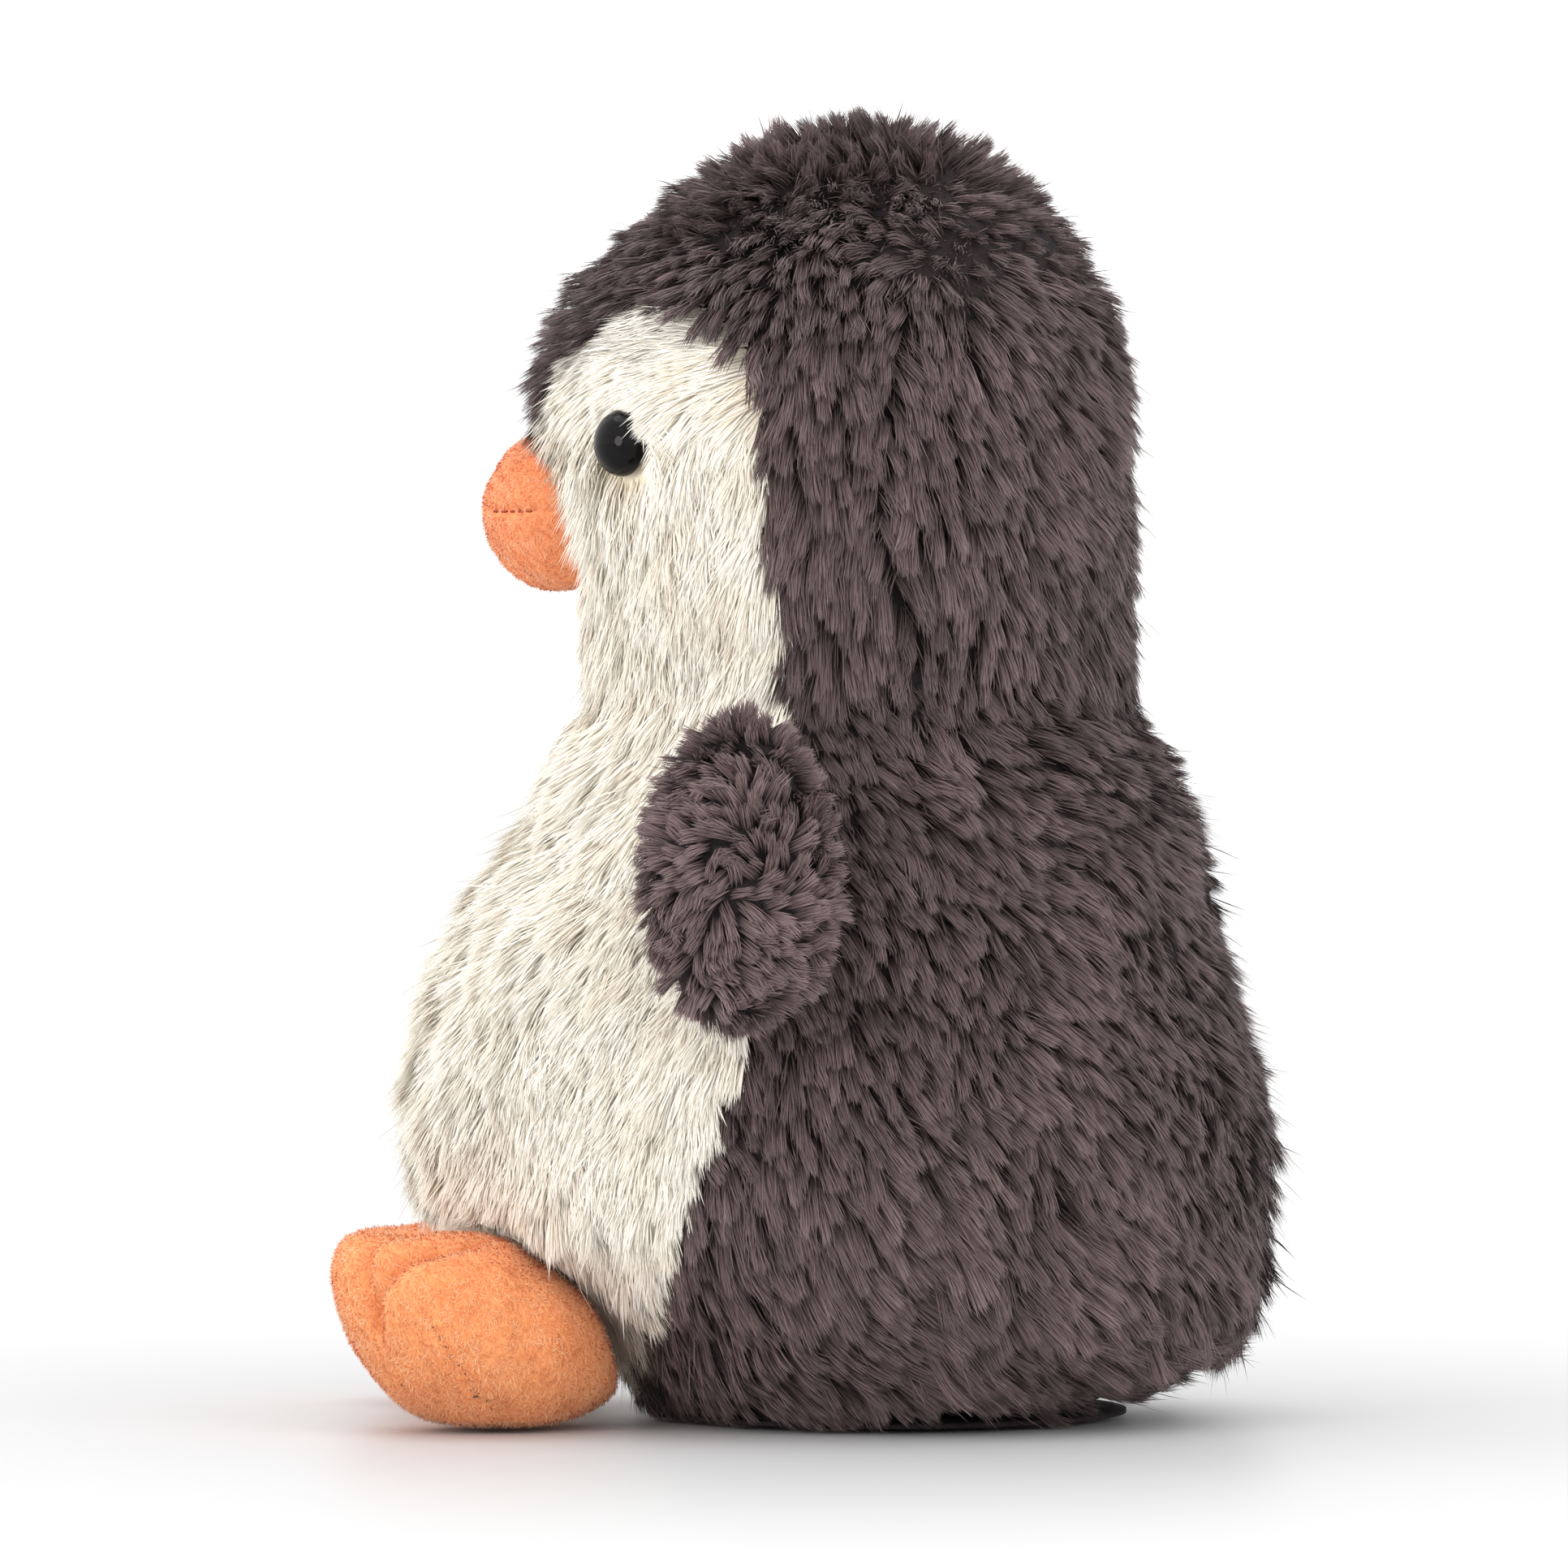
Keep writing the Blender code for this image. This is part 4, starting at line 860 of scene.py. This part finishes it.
def add_light(name, at, aim, size, power, colour=(1, 1, 1)):
    data = bpy.data.lights.new(name, "AREA")
    data.shape = "DISK"
    data.size = size
    data.energy = power
    data.color = colour
    light = bpy.data.objects.new(name, data)
    bpy.context.collection.objects.link(light)
    light.location = at
    light.rotation_euler = (Vector(aim) - Vector(at)).to_track_quat("-Z", "Y").to_euler()


def add_world():
    world = bpy.data.worlds.new("studio")
    bpy.context.scene.world = world
    world.use_nodes = True
    back = world.node_tree.nodes["Background"]
    back.inputs["Color"].default_value = (1, 1, 1, 1)
    back.inputs["Strength"].default_value = 1.28


bpy.context.scene.view_settings.view_transform = "Standard"
bpy.context.scene.view_settings.look = "None"
add_camera()
add_floor()
add_world()
add_light("key", (1.05, -0.95, 0.32), (0, 0, 0.12), 0.65, 6.2, (1.0, 0.985, 0.97))
add_light("fill", (0.9, 0.8, 0.5), (0, 0, 0.1), 0.9, 4.0, (0.98, 0.985, 1.0))
add_light("top", (-0.1, -0.35, 1.3), (0, 0, 0.1), 0.9, 3.5)

# ---------------------------------------------------------------- sewn skins
t_of = lambda z: float(ring_number(z))
LEFT, RIGHT = 1, -1


def declare(obj, body, nodes=(), neck=False):
    if neck:
        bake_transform(obj)
    else:
        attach(obj, body)
    if nodes:
        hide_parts(*nodes)
    return obj


tummy = patch("tummy_skin", 0.02, t_of(NECK_Z) + 0.4, lambda z: -side_angle(z), side_angle, MATS["ivory_cloth"], 70, 60)
declare(tummy, "torso", ["tummy_panel"], neck=True)
for side, tag in ((LEFT, "left"), (RIGHT, "right")):
    back = patch(f"body_back_skin_{tag}", 0.02, t_of(NECK_Z) + 0.4, lambda z: side * side_angle(z), lambda z: side * np.full_like(z, math.pi), MATS["dark_cloth"], 70, 44)
    declare(back, "torso", [f"body_back_panel_{tag}"], neck=True)
    face = patch(f"face_skin_{tag}", t_of(NECK_Z) - 0.5, t_of(200.0),
                 lambda z: side * np.where(z > 150, strip_angle(z), 0.0), lambda z: side * side_angle(z), MATS["ivory_cloth"], 50, 30, False)
    declare(face, "head", [f"face_panel_{tag}"])
    hood = patch(f"hood_side_skin_{tag}", t_of(NECK_Z) - 0.5, t_of(200.2), lambda z: side * side_angle(z), lambda z: side * hood_angle(z), MATS["dark_cloth"], 50, 20, False)
    declare(hood, "head", [f"hood_side_panel_{tag}"])
rear = patch("head_back_skin", t_of(NECK_Z) - 0.5, t_of(200.2), hood_angle, lambda z: 2 * math.pi - hood_angle(z), MATS["dark_cloth"], 50, 40, False)
declare(rear, "head", ["head_back_panel"])
crown = cap("crown_skin", t_of(200.0), MATS["dark_cloth"])
declare(crown, "head", ["crown_panel"])
forehead = patch("forehead_skin", t_of(169.0), t_of(200.6), lambda z: -strip_angle(z), strip_angle, MATS["dark_cloth"], 24, 14, False)
declare(forehead, "head")


def body_filling():
    """The loose fibre in the body, above the pellet bag. Like the cloth round it, it is a neck piece: its transform is
    baked in and it hangs on no body.
    """
    heights = np.concatenate([[30.0, 30.3], np.linspace(31.5, 117, 26), [121, 124.5, 127, 128.6, 129.2]])
    shares = np.concatenate([[0.0, 0.95], np.ones(26), [0.985, 0.93, 0.80, 0.5, 0.0]])
    turn = np.linspace(0, 2 * math.pi, 64, endpoint=False)
    rings = []
    for z, share in zip(heights, shares):
        t = np.full(64, t_of(z))
        p, out, _, _ = envelope_frame(t, turn)
        inner = p - out * 7.5
        middle = np.array((0.0, float(rings_at(t_of(z))[1]), z))
        inner[:, 2] = z
        rings.append(middle + (inner - middle) * share)
    points = clear_of_feet(np.vstack(rings), 1.03)
    return mesh_piece("body_filling", *ball_mesh(points, len(heights) - 1, 64), MATS["fibre"])


declare(body_filling(), "torso", ["body_stuffing"], neck=True)


def base_cloth():
    """The flat round of cloth under the seat, sewn to the cover all round."""
    cols, rings = 120, 16
    a = np.linspace(-math.pi, math.pi, cols, endpoint=False)
    edge = envelope(np.full(cols, 0.35), a)
    middle = np.array((0.0, 14.0, 0.0))
    vertices, faces = [], []
    shares = np.linspace(1.0, 0.06, rings)
    for floor_z, order in ((0.5, 0), (1.9, 1)):
        for share in shares:
            ring = middle + (edge - middle) * share * 0.97
            puff = 0.5 * math.exp(-(((1 - share) / 0.05) ** 2))
            ring[:, 2] = floor_z + (puff if order == 0 else -0.4 * puff)
            vertices += list(ring)
        centre = middle.copy()
        centre[2] = floor_z
        vertices.append(centre)
    per = rings * cols + 1
    for shell in (0, 1):
        b = shell * per
        for i in range(rings - 1):
            for j in range(cols):
                k = (j + 1) % cols
                faces.append((b + i * cols + j, b + i * cols + k, b + (i + 1) * cols + k, b + (i + 1) * cols + j))
        for j in range(cols):
            faces.append((b + (rings - 1) * cols + j, b + (rings - 1) * cols + (j + 1) % cols, b + rings * cols))
    for j in range(cols):
        k = (j + 1) % cols
        faces.append((j, k, per + k, per + j))
    return mesh_piece("base_cloth", vertices, faces, MATS["dark_cloth"])


declare(base_cloth(), "torso", ["base_panel"])

# ---------------------------------------------------------------- beak, feet, wings and eyes
points, rows, cols = beak_surface()
BEAK_MESH = ball_mesh(points, rows, cols)
beak = mesh_piece("beak", *BEAK_MESH, MATS["beak_cloth"])
declare(beak, "head", ["beak_upper", "beak_lower"])

FOOT_MESH, WING_MESH = {}, {}
for side, tag in ((LEFT, "left"), (RIGHT, "right")):
    points, rows, cols = foot_surface(side)
    FOOT_MESH[side] = ball_mesh(points, rows, cols)
    foot = mesh_piece(f"foot_{tag}", *FOOT_MESH[side], MATS["orange_cloth"])
    declare(foot, f"foot_{tag}", [f"foot_{tag}_top_panel", f"foot_{tag}_sole_panel"])
    points, rows, cols = wing_surface(side, shrink=3.0)
    WING_MESH[side] = ball_mesh(points, rows, cols)
    wing = mesh_piece(f"wing_skin_{tag}", *WING_MESH[side], MATS["dark_cloth"])
    declare(wing, f"wing_{tag}", [f"wing_{tag}_front_panel", f"wing_{tag}_rear_panel"])
    points, rows, cols = wing_surface(side, 30, 48, shrink=4.9, start=0.32)
    filling = mesh_piece(f"wing_filling_{tag}", *ball_mesh(points, rows, cols), MATS["fibre"])
    declare(filling, f"wing_{tag}", [f"wing_{tag}_stuffing"])
    points, rows, cols = foot_surface(side, 40, 96, shrink=2.0)
    filling = mesh_piece(f"foot_filling_{tag}", *ball_mesh(points, rows, cols), MATS["fibre"])
    declare(filling, f"foot_{tag}", [f"foot_{tag}_stuffing"])
    at, out = eye_place(side)
    r = EYE_D / 2 + 0.15
    profile = [(0, 1.9)] + [(r * math.sin(math.radians(q)), -2.7 + 4.6 * math.cos(math.radians(q))) for q in range(4, 91, 4)]
    profile += [(r, -2.9), (r - 0.25, -3.3), (r - 0.9, -3.6), (1.8, -3.7), (1.7, -10.4), (0, -10.4)]
    eye = turned_piece(f"eye_dome_{tag}", profile, at, out, MATS["eye"])
    declare(eye, "head", [f"eye_{tag}"])


def beak_front(angle, height, lift):
    """A point on the front of the beak at an angle from straight ahead and a height."""
    vertices = BEAK_MESH[0]
    way = np.array((math.sin(angle), -math.cos(angle)))
    near = np.abs(vertices[:, 2] - height) < 0.7
    flat = vertices[near][:, :2] - BEAK_CENTRE[:2]
    share = (flat @ way) / np.linalg.norm(flat, axis=1)
    best = flat[np.argsort(-share)[:6]]
    reach = np.median(np.linalg.norm(best, axis=1)) + lift
    return np.array((*(BEAK_CENTRE[:2] + way * reach), height))


def mouth_stitches():
    """A row of short sunk stitches that closes the mouth from cheek to cheek."""
    paths = []
    stitch, gap = math.radians(6.6), math.radians(1.8)
    start = -math.radians(66)
    while start < math.radians(62):
        if abs(start + stitch / 2) < math.radians(22):
            start += stitch + gap
            continue
        angles = np.linspace(start, start + stitch, 5)
        sink = np.array((-0.35, 0.10, 0.2, 0.10, -0.35))
        paths.append([beak_front(q, 161.3 + 0.06 * math.sin(40 * start), d) for q, d in zip(angles, sink)])
        start += stitch + gap
    vertices, faces = tube(paths, 0.20)
    return mesh_piece("mouth_stitches", vertices, faces, MATS["dark_thread"])


declare(mouth_stitches(), "head", ["mouth_stitch"])


def foot_stitches(side, tag):
    """Sunk stitches in the two toe grooves, and the closed dart low on the outer side of the foot."""
    for name, line in TOE_GROOVES.items():
        paths = []
        for start in np.arange(-26.0, 44.0, 9.0):
            high = np.linspace(start, start + 5.0, 5)
            lift = np.array((-0.6, -0.12, 0.0, -0.12, -0.6))
            paths.append([foot_at(side, math.radians(q), math.radians(float(curve(line, q))), 0.0, d) for q, d in zip(high, lift)])
        vertices, faces = tube(paths, 0.2)
        piece = mesh_piece(f"foot_{tag}_toe_stitches_{name}", vertices, faces, MATS["orange_thread"])
        declare(piece, f"foot_{tag}", [f"foot_{tag}_toe_stitch_{name}"])
    paths = []
    for k in range(12):
        lon = 52 + (np.linspace(k / 12, (k + 0.55) / 12, 5)) * 48
        lift = np.array((-0.3, 0.30, 0.42, 0.30, -0.3))
        high = np.interp(lon, (48, 52, 67, 82, 100), (-20, -24, -35, -45, -50))
        paths.append([foot_at(side, math.radians(h), math.radians(q), 0.0, d) for h, q, d in zip(high, lon, lift)])
    vertices, faces = tube(paths, 0.13)
    declare(mesh_piece(f"foot_{tag}_dart_stitches", vertices, faces, MATS["dark_thread"]), f"foot_{tag}")
    ends = [[foot_at(side, math.radians(-48 + 2.2 * q), math.radians(84 + 1.0 * q), 0.0, 0.35 + 0.75 * q) for q in (0.0, 0.5, 1.0)]]
    vertices, faces = tube(ends, 0.17)
    declare(mesh_piece(f"foot_{tag}_thread_end", vertices, faces, MATS["seam_thread"]), f"foot_{tag}")


for side, tag in ((LEFT, "left"), (RIGHT, "right")):
    foot_stitches(side, tag)


# ---------------------------------------------------------------- materials of the pieces kept from the CAD
KEPT = {
    "fibre": ["head_stuffing", "beak_stuffing"],
    "pouch": ["bean_pouch"],
    "washer": ["eye_washer_left", "eye_washer_right"],
    "seam_thread": ["back_seam_thread"],
}
for key, nodes in KEPT.items():
    for node in nodes:
        for held in frame["nodes"][node].material_slots:
            held.material = MATS[key]

# ---------------------------------------------------------------- pile
COUNT = 46
WIDTH = 0.24


def settle(points):
    """Fibres lie on the floor, over the feet and beak and round the eyes, not in them."""
    flat = points.reshape(-1, 3)
    flat = clear_of_feet(flat, 1.05)
    share = beak_share(flat)[:, None]
    ahead = (flat[:, 1] < -40)[:, None]
    flat = np.where((share < 1.02) & ahead, BEAK_CENTRE + (flat - BEAK_CENTRE) * 1.02 / np.maximum(share, 0.2), flat)
    for side in (1, -1):
        at, out = eye_place(side)
        offset = flat - at
        high = offset @ out
        level = offset - out * high[:, None]
        far = np.linalg.norm(level, axis=1)
        # The pile overlaps the dome a little behind and below it.
        behind = unit(level) @ along_surface(np.array((0.0, 0.93, -0.35)), out)
        rim = EYE_D / 2 + 0.25 - 2.3 * smooth(behind, 0.1, 0.85)
        inside = (far < rim) & (high > -5) & (high < 9)
        flat = np.where(inside[:, None], at + out * high[:, None] + level * (rim / np.maximum(far, 1e-3))[:, None], flat)
    flat[:, 2] = np.maximum(flat[:, 2], 0.35)
    return flat.reshape(points.shape)


def comb(rng, spacing):
    """Where the locks of the cover stand, and how each lies."""
    t, a = ring_scatter(rng, spacing, 0.25, TOP - 0.06)
    p, out, down, across = envelope_frame(t, a)
    z, aa, s = p[:, 2], np.abs(a), np.sign(a)
    side_a, hood_a = side_angle(z), hood_angle(z)
    ivory = (aa < side_a) & (z < 200.0)
    ivory &= ~((z > 173.5) & (aa < strip_angle(z)))
    fringe = ~ivory & (z > 173.5) & (aa < 1.0) & (z < 206)
    # The cover is drawn in a little at the upper back, and at the lap behind the feet.
    inset = 2.6 * np.exp(-(((z - 101) / 24) ** 2)) * smooth(aa, 1.7, 2.4) + 3.0 * np.exp(-(((z - 212) / 13) ** 2)) * smooth(aa, 1.5, 2.2) + 1.4 * smooth(z, 140, 155) * smooth(aa, 1.9, 2.5) + 1.6 * np.exp(-(((z - 36) / 12) ** 2)) * (1 - smooth(aa, 0.5, 1.1))
    root = p - out * (SKIN_OUT + 0.1 - 0.7 * wave_noise(p, 22.0, 30) + inset)[:, None]

    wanted = np.zeros_like(p)
    # Dark cover: combed down on the hood, down and back on the body, back along the floor.
    back_pull = np.where(z > NECK_Z, 0.02 + 0.25 * smooth(aa, 1.7, 2.4), 0.42 + 0.75 * (1 - smooth(z, 8, 38)))
    wanted[:, 1] = np.where(ivory, 0.0, back_pull)
    wanted[:, 2] = -1.0
    # Ivory face: swept forward over the brow, down and a little forward below it.
    brow = smooth(z, 176, 188)
    face_y = -0.10 * smooth(z, NECK_Z, 150) * smooth(aa, 0.5, 1.0) + 0.10 * (1 - smooth(aa, 0.4, 0.8)) - 1.9 * brow
    wanted[:, 1] = np.where(ivory & (z > NECK_Z), face_y, wanted[:, 1])
    wanted[:, 2] = np.where(ivory & (z > NECK_Z), -1 + 0.45 * brow, wanted[:, 2])
    way = along_surface(wanted, out)
    crown = smooth(z, 200, 216)
    way = unit(way * (1 - crown[:, None]) + down * crown[:, None])
    # The parting along the upright seam of the hood. Its locks are shorter and painted darker, as painted shade in the
    # parting.
    gap = (aa - hood_a) * rings_at(t)[3] + 2.5 * wave_noise(p, 26.0, 33)
    parting = np.exp(-(gap / 4.0) ** 2) * (z > NECK_Z - 4) * (z < 204) * ~ivory
    body = z < NECK_Z
    swing = wave_noise(p, 40.0, 3) * (0.15 + 0.10 * body) + wave_noise(p, 12.0, 4) * (0.12 + 0.08 * body) + rng.normal(0, 0.09, len(p))
    swing *= 1 + 2.2 * crown + 3.0 * smooth(z, 219, 228)
    swing += 0.38 * parting * np.sign(gap) * s
    way = turned(way, out, swing)

    ruffle = np.exp(-(((z - 206) / 16) ** 2)) * smooth(aa, 1.8, 2.5) + np.exp(-(((z - 112) / 15) ** 2)) * smooth(aa, 1.6, 2.3)
    ruffle *= ~ivory
    ruffle *= 0.6 - 0.2 * body
    length = np.where(ivory, 10.6, 10.4)
    length = np.where(ivory & body, 11.2, length)
    length += -2.6 * crown * (1 - ruffle) - 1.5 * brow * ivory + 0.8 * ruffle
    length *= 1 + 0.10 * wave_noise(p, 20.0, 8) + rng.normal(0, 0.08, len(p))
    length *= 1 - 0.26 * parting
    # On the body the locks are shorter and stand off more than on the hood, where they are combed flat.
    upper = body * smooth(z, 40, 62) * ~ivory
    top = smooth(z, 219, 228)
    length *= 1 - 0.14 * upper
    rise = 0.82 + 0.10 * wave_noise(p, 16.0, 9) + rng.normal(0, 0.09, len(p)) + 0.18 * crown + 0.1 * ruffle + 0.06 * upper + 0.3 * top
    lie = 0.19 + 0.12 * wave_noise(p, 13.0, 10) + np.abs(rng.normal(0, 0.17, len(p))) + 0.16 * crown + 0.24 * ruffle + 0.13 * upper + 0.45 * top
    lie += 0.10 * ivory * body + 0.30 * fringe
    length += 0.6 * fringe
    low = 1 - smooth(z, 3, 14)
    rise, lie = rise - 0.2 * low, lie - 0.15 * low
    length *= 1 - 0.2 * low
    tone = 0.5 + 0.14 * wave_noise(p, 15.0, 11) + rng.normal(0, 0.15, len(p))
    # Painted shadow: along the neck crease the dark locks are painted darker, a shadow line under the head's locks;
    # they are also shorter there.
    crease = np.exp(-(((z - 129.5) / 3.2) ** 2)) * ~ivory
    # Painted light: the dark locks high on the head are painted lighter to offset their shading; the parting and the
    # neck crease are painted darker as shade.
    tone = tone - 0.12 * parting - 0.3 * crease + 0.12 * smooth(z, 198, 214) * ~ivory
    # The pale cloth is matted smooth: its locks stand less and lie closer together.
    rise = np.where(ivory, 0.62 + (rise - 0.82) * 0.6, rise)
    lie = np.where(ivory, 0.20 + (lie - 0.25) * 0.5, lie)
    length *= 1 - 0.2 * crease

    # Room for the beak, the eyes and the feet.
    keep = ~((beak_share(p) < 1.0) & (p[:, 1] < -30)) & ~in_feet(root, 1.06)
    near_beak = np.clip((beak_share(p) - 1.0) * 13.0, 0, 8) * (p[:, 1] < -20) + 20 * (p[:, 1] >= -20)
    length = np.minimum(length, 6.0 + near_beak)
    for side in (1, -1):
        at, eye_out = eye_place(side)
        offset = p - at
        flat = offset - eye_out * (offset @ eye_out)[:, None]
        far = np.linalg.norm(flat, axis=1)
        near = np.linalg.norm(offset, axis=1)
        keep &= ~((far < EYE_D / 2 + 0.7) & (near < 12))
        toward = -np.einsum("ij,ij->i", way, unit(flat))
        room = np.maximum(far - EYE_D / 2 + 1.6, 2.4) / np.maximum(toward, 0.35)
        length = np.where((near < 22) & (toward > 0.35), np.minimum(length, room), length)
        away = unit(flat)
        bend = (smooth(-far, -10.0, -6.0) * 0.7 * (toward > 0.0) * (near < 14))[:, None]
        way = along_surface(unit(way + away * bend), out)
        lie = np.where((near < 12), lie * 0.6, lie)
    return {"t": t, "a": a, "z": z, "out": out, "root": root, "way": way, "length": length, "rise": rise, "lie": lie,
            "tone": tone, "keep": keep, "ivory": ivory}


def cover_pile():
    """Long pile in two layers: separate locks over a thin, shorter undercoat, which under the dark locks is painted
    darker as shade beneath them.
    """
    locks = comb(np.random.default_rng(7), 3.35)
    under = comb(np.random.default_rng(8), 3.2)
    groups = {
        "tummy_pile": ("ivory_fur", "ivory_plush", lambda c: c["ivory"] & (c["z"] <= NECK_Z), "torso", True),
        "face_pile": ("ivory_fur", "ivory_plush", lambda c: c["ivory"] & (c["z"] > NECK_Z), "head", False),
        "body_pile_left": ("dark_fur", "dark_plush", lambda c: ~c["ivory"] & (c["z"] <= NECK_Z) & (c["a"] > 0) & (c["z"] > 50), "torso", True),
        "body_pile_right": ("dark_fur", "dark_plush", lambda c: ~c["ivory"] & (c["z"] <= NECK_Z) & (c["a"] <= 0) & (c["z"] > 50), "torso", True),
        "seat_pile_left": ("dark_fur", "dark_plush", lambda c: ~c["ivory"] & (c["z"] <= 50) & (c["a"] > 0), "torso", False),
        "seat_pile_right": ("dark_fur", "dark_plush", lambda c: ~c["ivory"] & (c["z"] <= 50) & (c["a"] <= 0), "torso", False),
        "hood_pile_left": ("dark_fur", "dark_plush", lambda c: ~c["ivory"] & (c["z"] > NECK_Z) & (c["a"] > 0), "head", False),
        "hood_pile_right": ("dark_fur", "dark_plush", lambda c: ~c["ivory"] & (c["z"] > NECK_Z) & (c["a"] <= 0), "head", False),
    }
    fur = Fur(21)
    for name, (mat, slot, chosen, body, neck) in groups.items():
        pale = mat == "ivory_fur"
        sets = []
        # Painted shade: under the dark pile the undercoat's tone is lowered by darker, shade painted beneath the locks.
        for c, count, spread, gather, shorter, darker, wild in (
            (locks, int(COUNT * 1.55) if pale else COUNT, (1.75, 1.35) if pale else (1.4, 0.85), 0.12 if pale else 0.26, 1.0, 0.0, 1.6 if pale else 1.0),
            (under, COUNT // 2 if pale else COUNT // 4, (1.9, 1.6), 0.0, 0.9 if pale else 0.72, 0.0 if pale else 0.16, 2.0),
        ):
            i = np.flatnonzero(chosen(c) & c["keep"])
            made = fur.grow(c["root"][i], c["out"][i], c["way"][i], c["length"][i] * shorter, c["rise"][i], c["lie"][i] * 0.9,
                            count, spread, gather, WIDTH * (1.2 if pale else 1.0), c["tone"][i] - darker, stray=0.015, wild=wild, rolled=0.4 if pale else 0.75)
            sets.append((made, count, len(i)))
        total = sum(n * count for _, count, n in sets)
        parts = max(1, math.ceil(total / (18500 if name.startswith("hood") else 36000)))
        for part in range(parts):
            picks = [slice((n * part // parts) * count, (n * (part + 1) // parts) * count) for _, count, n in sets]
            pts, cross, width, shade, outs = (np.concatenate([made[k][pick] for (made, _, _), pick in zip(sets, picks)]) for k in range(5))
            label = name if parts == 1 else f"{name}_{part + 1}"
            piece = strands(label, settle(pts), cross, width, shade, MATS[mat], outs, 0.9 if pale else 0.4,
                            twice=(outs[:, 2] > 0.35) if name.startswith(("hood", "face")) else None)
            declare(piece, body, neck=neck)


def wing_pile(side, tag):
    rng = np.random.default_rng(40 + side)
    vertices, faces = WING_MESH[side]
    p, out, area = on_mesh(rng, vertices, faces, 8000)
    keep = thin_out(p, 1.8)
    p, out = p[keep], out[keep]
    ok = p[:, 0] * side > WING_ROOT[0] + 2.0
    p, out = p[ok], out[ok]
    centre = WING_ROOT + WING_DIR * WING_LENGTH * 0.8 + np.array((0.0, -1.0, -3.0))
    dy, dz = (p[:, 1] - centre[1]) / 17.0, (p[:, 2] - centre[2]) / 26.0
    r = np.hypot(dy, dz)
    swirl = np.stack([np.zeros_like(dy), -dz, dy], 1) / np.maximum(r, 0.05)[:, None]
    radial = np.stack([np.zeros_like(dy), dy, dz], 1) / np.maximum(r, 0.05)[:, None]
    tipward = np.array((side * 0.9, 0.0, -0.1))
    rim = smooth(r, 0.55, 0.95)[:, None]
    wanted = swirl * (0.75 - 0.35 * rim) + radial * 0.45 + tipward * rim * 0.5 + np.array((0, 0, -0.35))
    way = along_surface(wanted, out)
    way = turned(way, out, wave_noise(p, 10.0, 17) * 0.75 + rng.normal(0, 0.4, len(p)))
    length = 5.3 * (1 + rng.normal(0, 0.10, len(p))) * (1 - 0.05 * rim[:, 0])
    rise = 1.05 + rng.normal(0, 0.12, len(p))
    lie = 0.62 + 0.25 * rim[:, 0] + rng.normal(0, 0.18, len(p)) - 0.1 * (1 - smooth(r, 0, 0.5))
    # Painted light: the wing tufts take tones from the light end of the ramp, painted lighter to offset the shade among
    # them.
    tone = 0.78 + 0.15 * wave_noise(p, 12.0, 18) + rng.normal(0, 0.13, len(p))
    fur = Fur(60 + side)
    made = fur.grow(p + out * 0.05, out, way, length, rise, lie, int(COUNT * 0.8), (1.3, 1.1), 0.06, WIDTH, tone, stray=0.02, wild=1.4)
    for half in (0, 1):
        pick = slice(half * (len(made[0]) // 2), None if half else len(made[0]) // 2)
        piece = strands(f"wing_pile_{tag}_{half + 1}", *(m[pick] for m in made[:4]), MATS["wing_fur_painted_lighter"], made[4][pick], 0.4,
                        twice=np.ones(len(made[0][pick]), bool))
        declare(piece, f"wing_{tag}")


def fuzz(name, mesh, density, length, body, mat, seed, allowed, lean=(0, -0.3, -1.0)):
    """Short cut pile: single upright fibres all over, a little combed."""
    rng = np.random.default_rng(seed)
    vertices, faces = mesh
    _, _, area = on_mesh(rng, vertices, faces, 10)
    number = int(area * density * (1.0))
    p, out, _ = on_mesh(rng, vertices, faces, number)
    ok = allowed(p)
    p, out = p[ok], out[ok]
    way = along_surface(np.array(lean, float)[None, :] + np.zeros_like(p), out)
    way = turned(way, out, rng.normal(0, 0.9, len(p)) + wave_noise(p, 3.0, seed + 1) * 0.8)
    size = length * rng.uniform(0.6, 1.25, len(p))
    tilt = rng.uniform(0.15, 0.8, len(p))
    one = p + out * (np.sin(tilt) * size * 0.55)[:, None] + way * (np.cos(tilt) * size * 0.45)[:, None]
    two = one + out * (np.sin(tilt * 0.6) * size * 0.45)[:, None] + way * (np.cos(tilt * 0.6) * size * 0.5)[:, None]
    pts = np.stack([p - out * 0.05, one, two], 1)
    pts[..., 2] = np.maximum(pts[..., 2], 0.15)
    cross = turned(unit(np.cross(out, way)), out, rng.uniform(-0.4, 0.4, len(p)))
    tone = np.clip(0.5 + 0.28 * wave_noise(p, 1.6, seed + 2) + 0.14 * wave_noise(p, 6.0, seed + 3) + rng.normal(0, 0.2, len(p)), 0, 1)
    piece = strands(name, pts, cross, np.full(len(p), 0.17), tone, MATS[mat], out, 0.9, taper=(1.0, 0.7))
    declare(piece, body)


cover_pile()
for side, tag in ((LEFT, "left"), (RIGHT, "right")):
    wing_pile(side, tag)
    fuzz(f"foot_fuzz_{tag}", FOOT_MESH[side], 6.5, 1.25, f"foot_{tag}", "orange_fur", 70 + side,
         lambda q: q[:, 1] < -33)
fuzz("beak_fuzz", BEAK_MESH, 9.0, 1.0, "head", "beak_fur", 90,
     lambda q: (q[:, 1] < -41) & ((np.abs(q[:, 2] - 161.2) > 0.35) | (np.abs(q[:, 0]) < 3.5)))
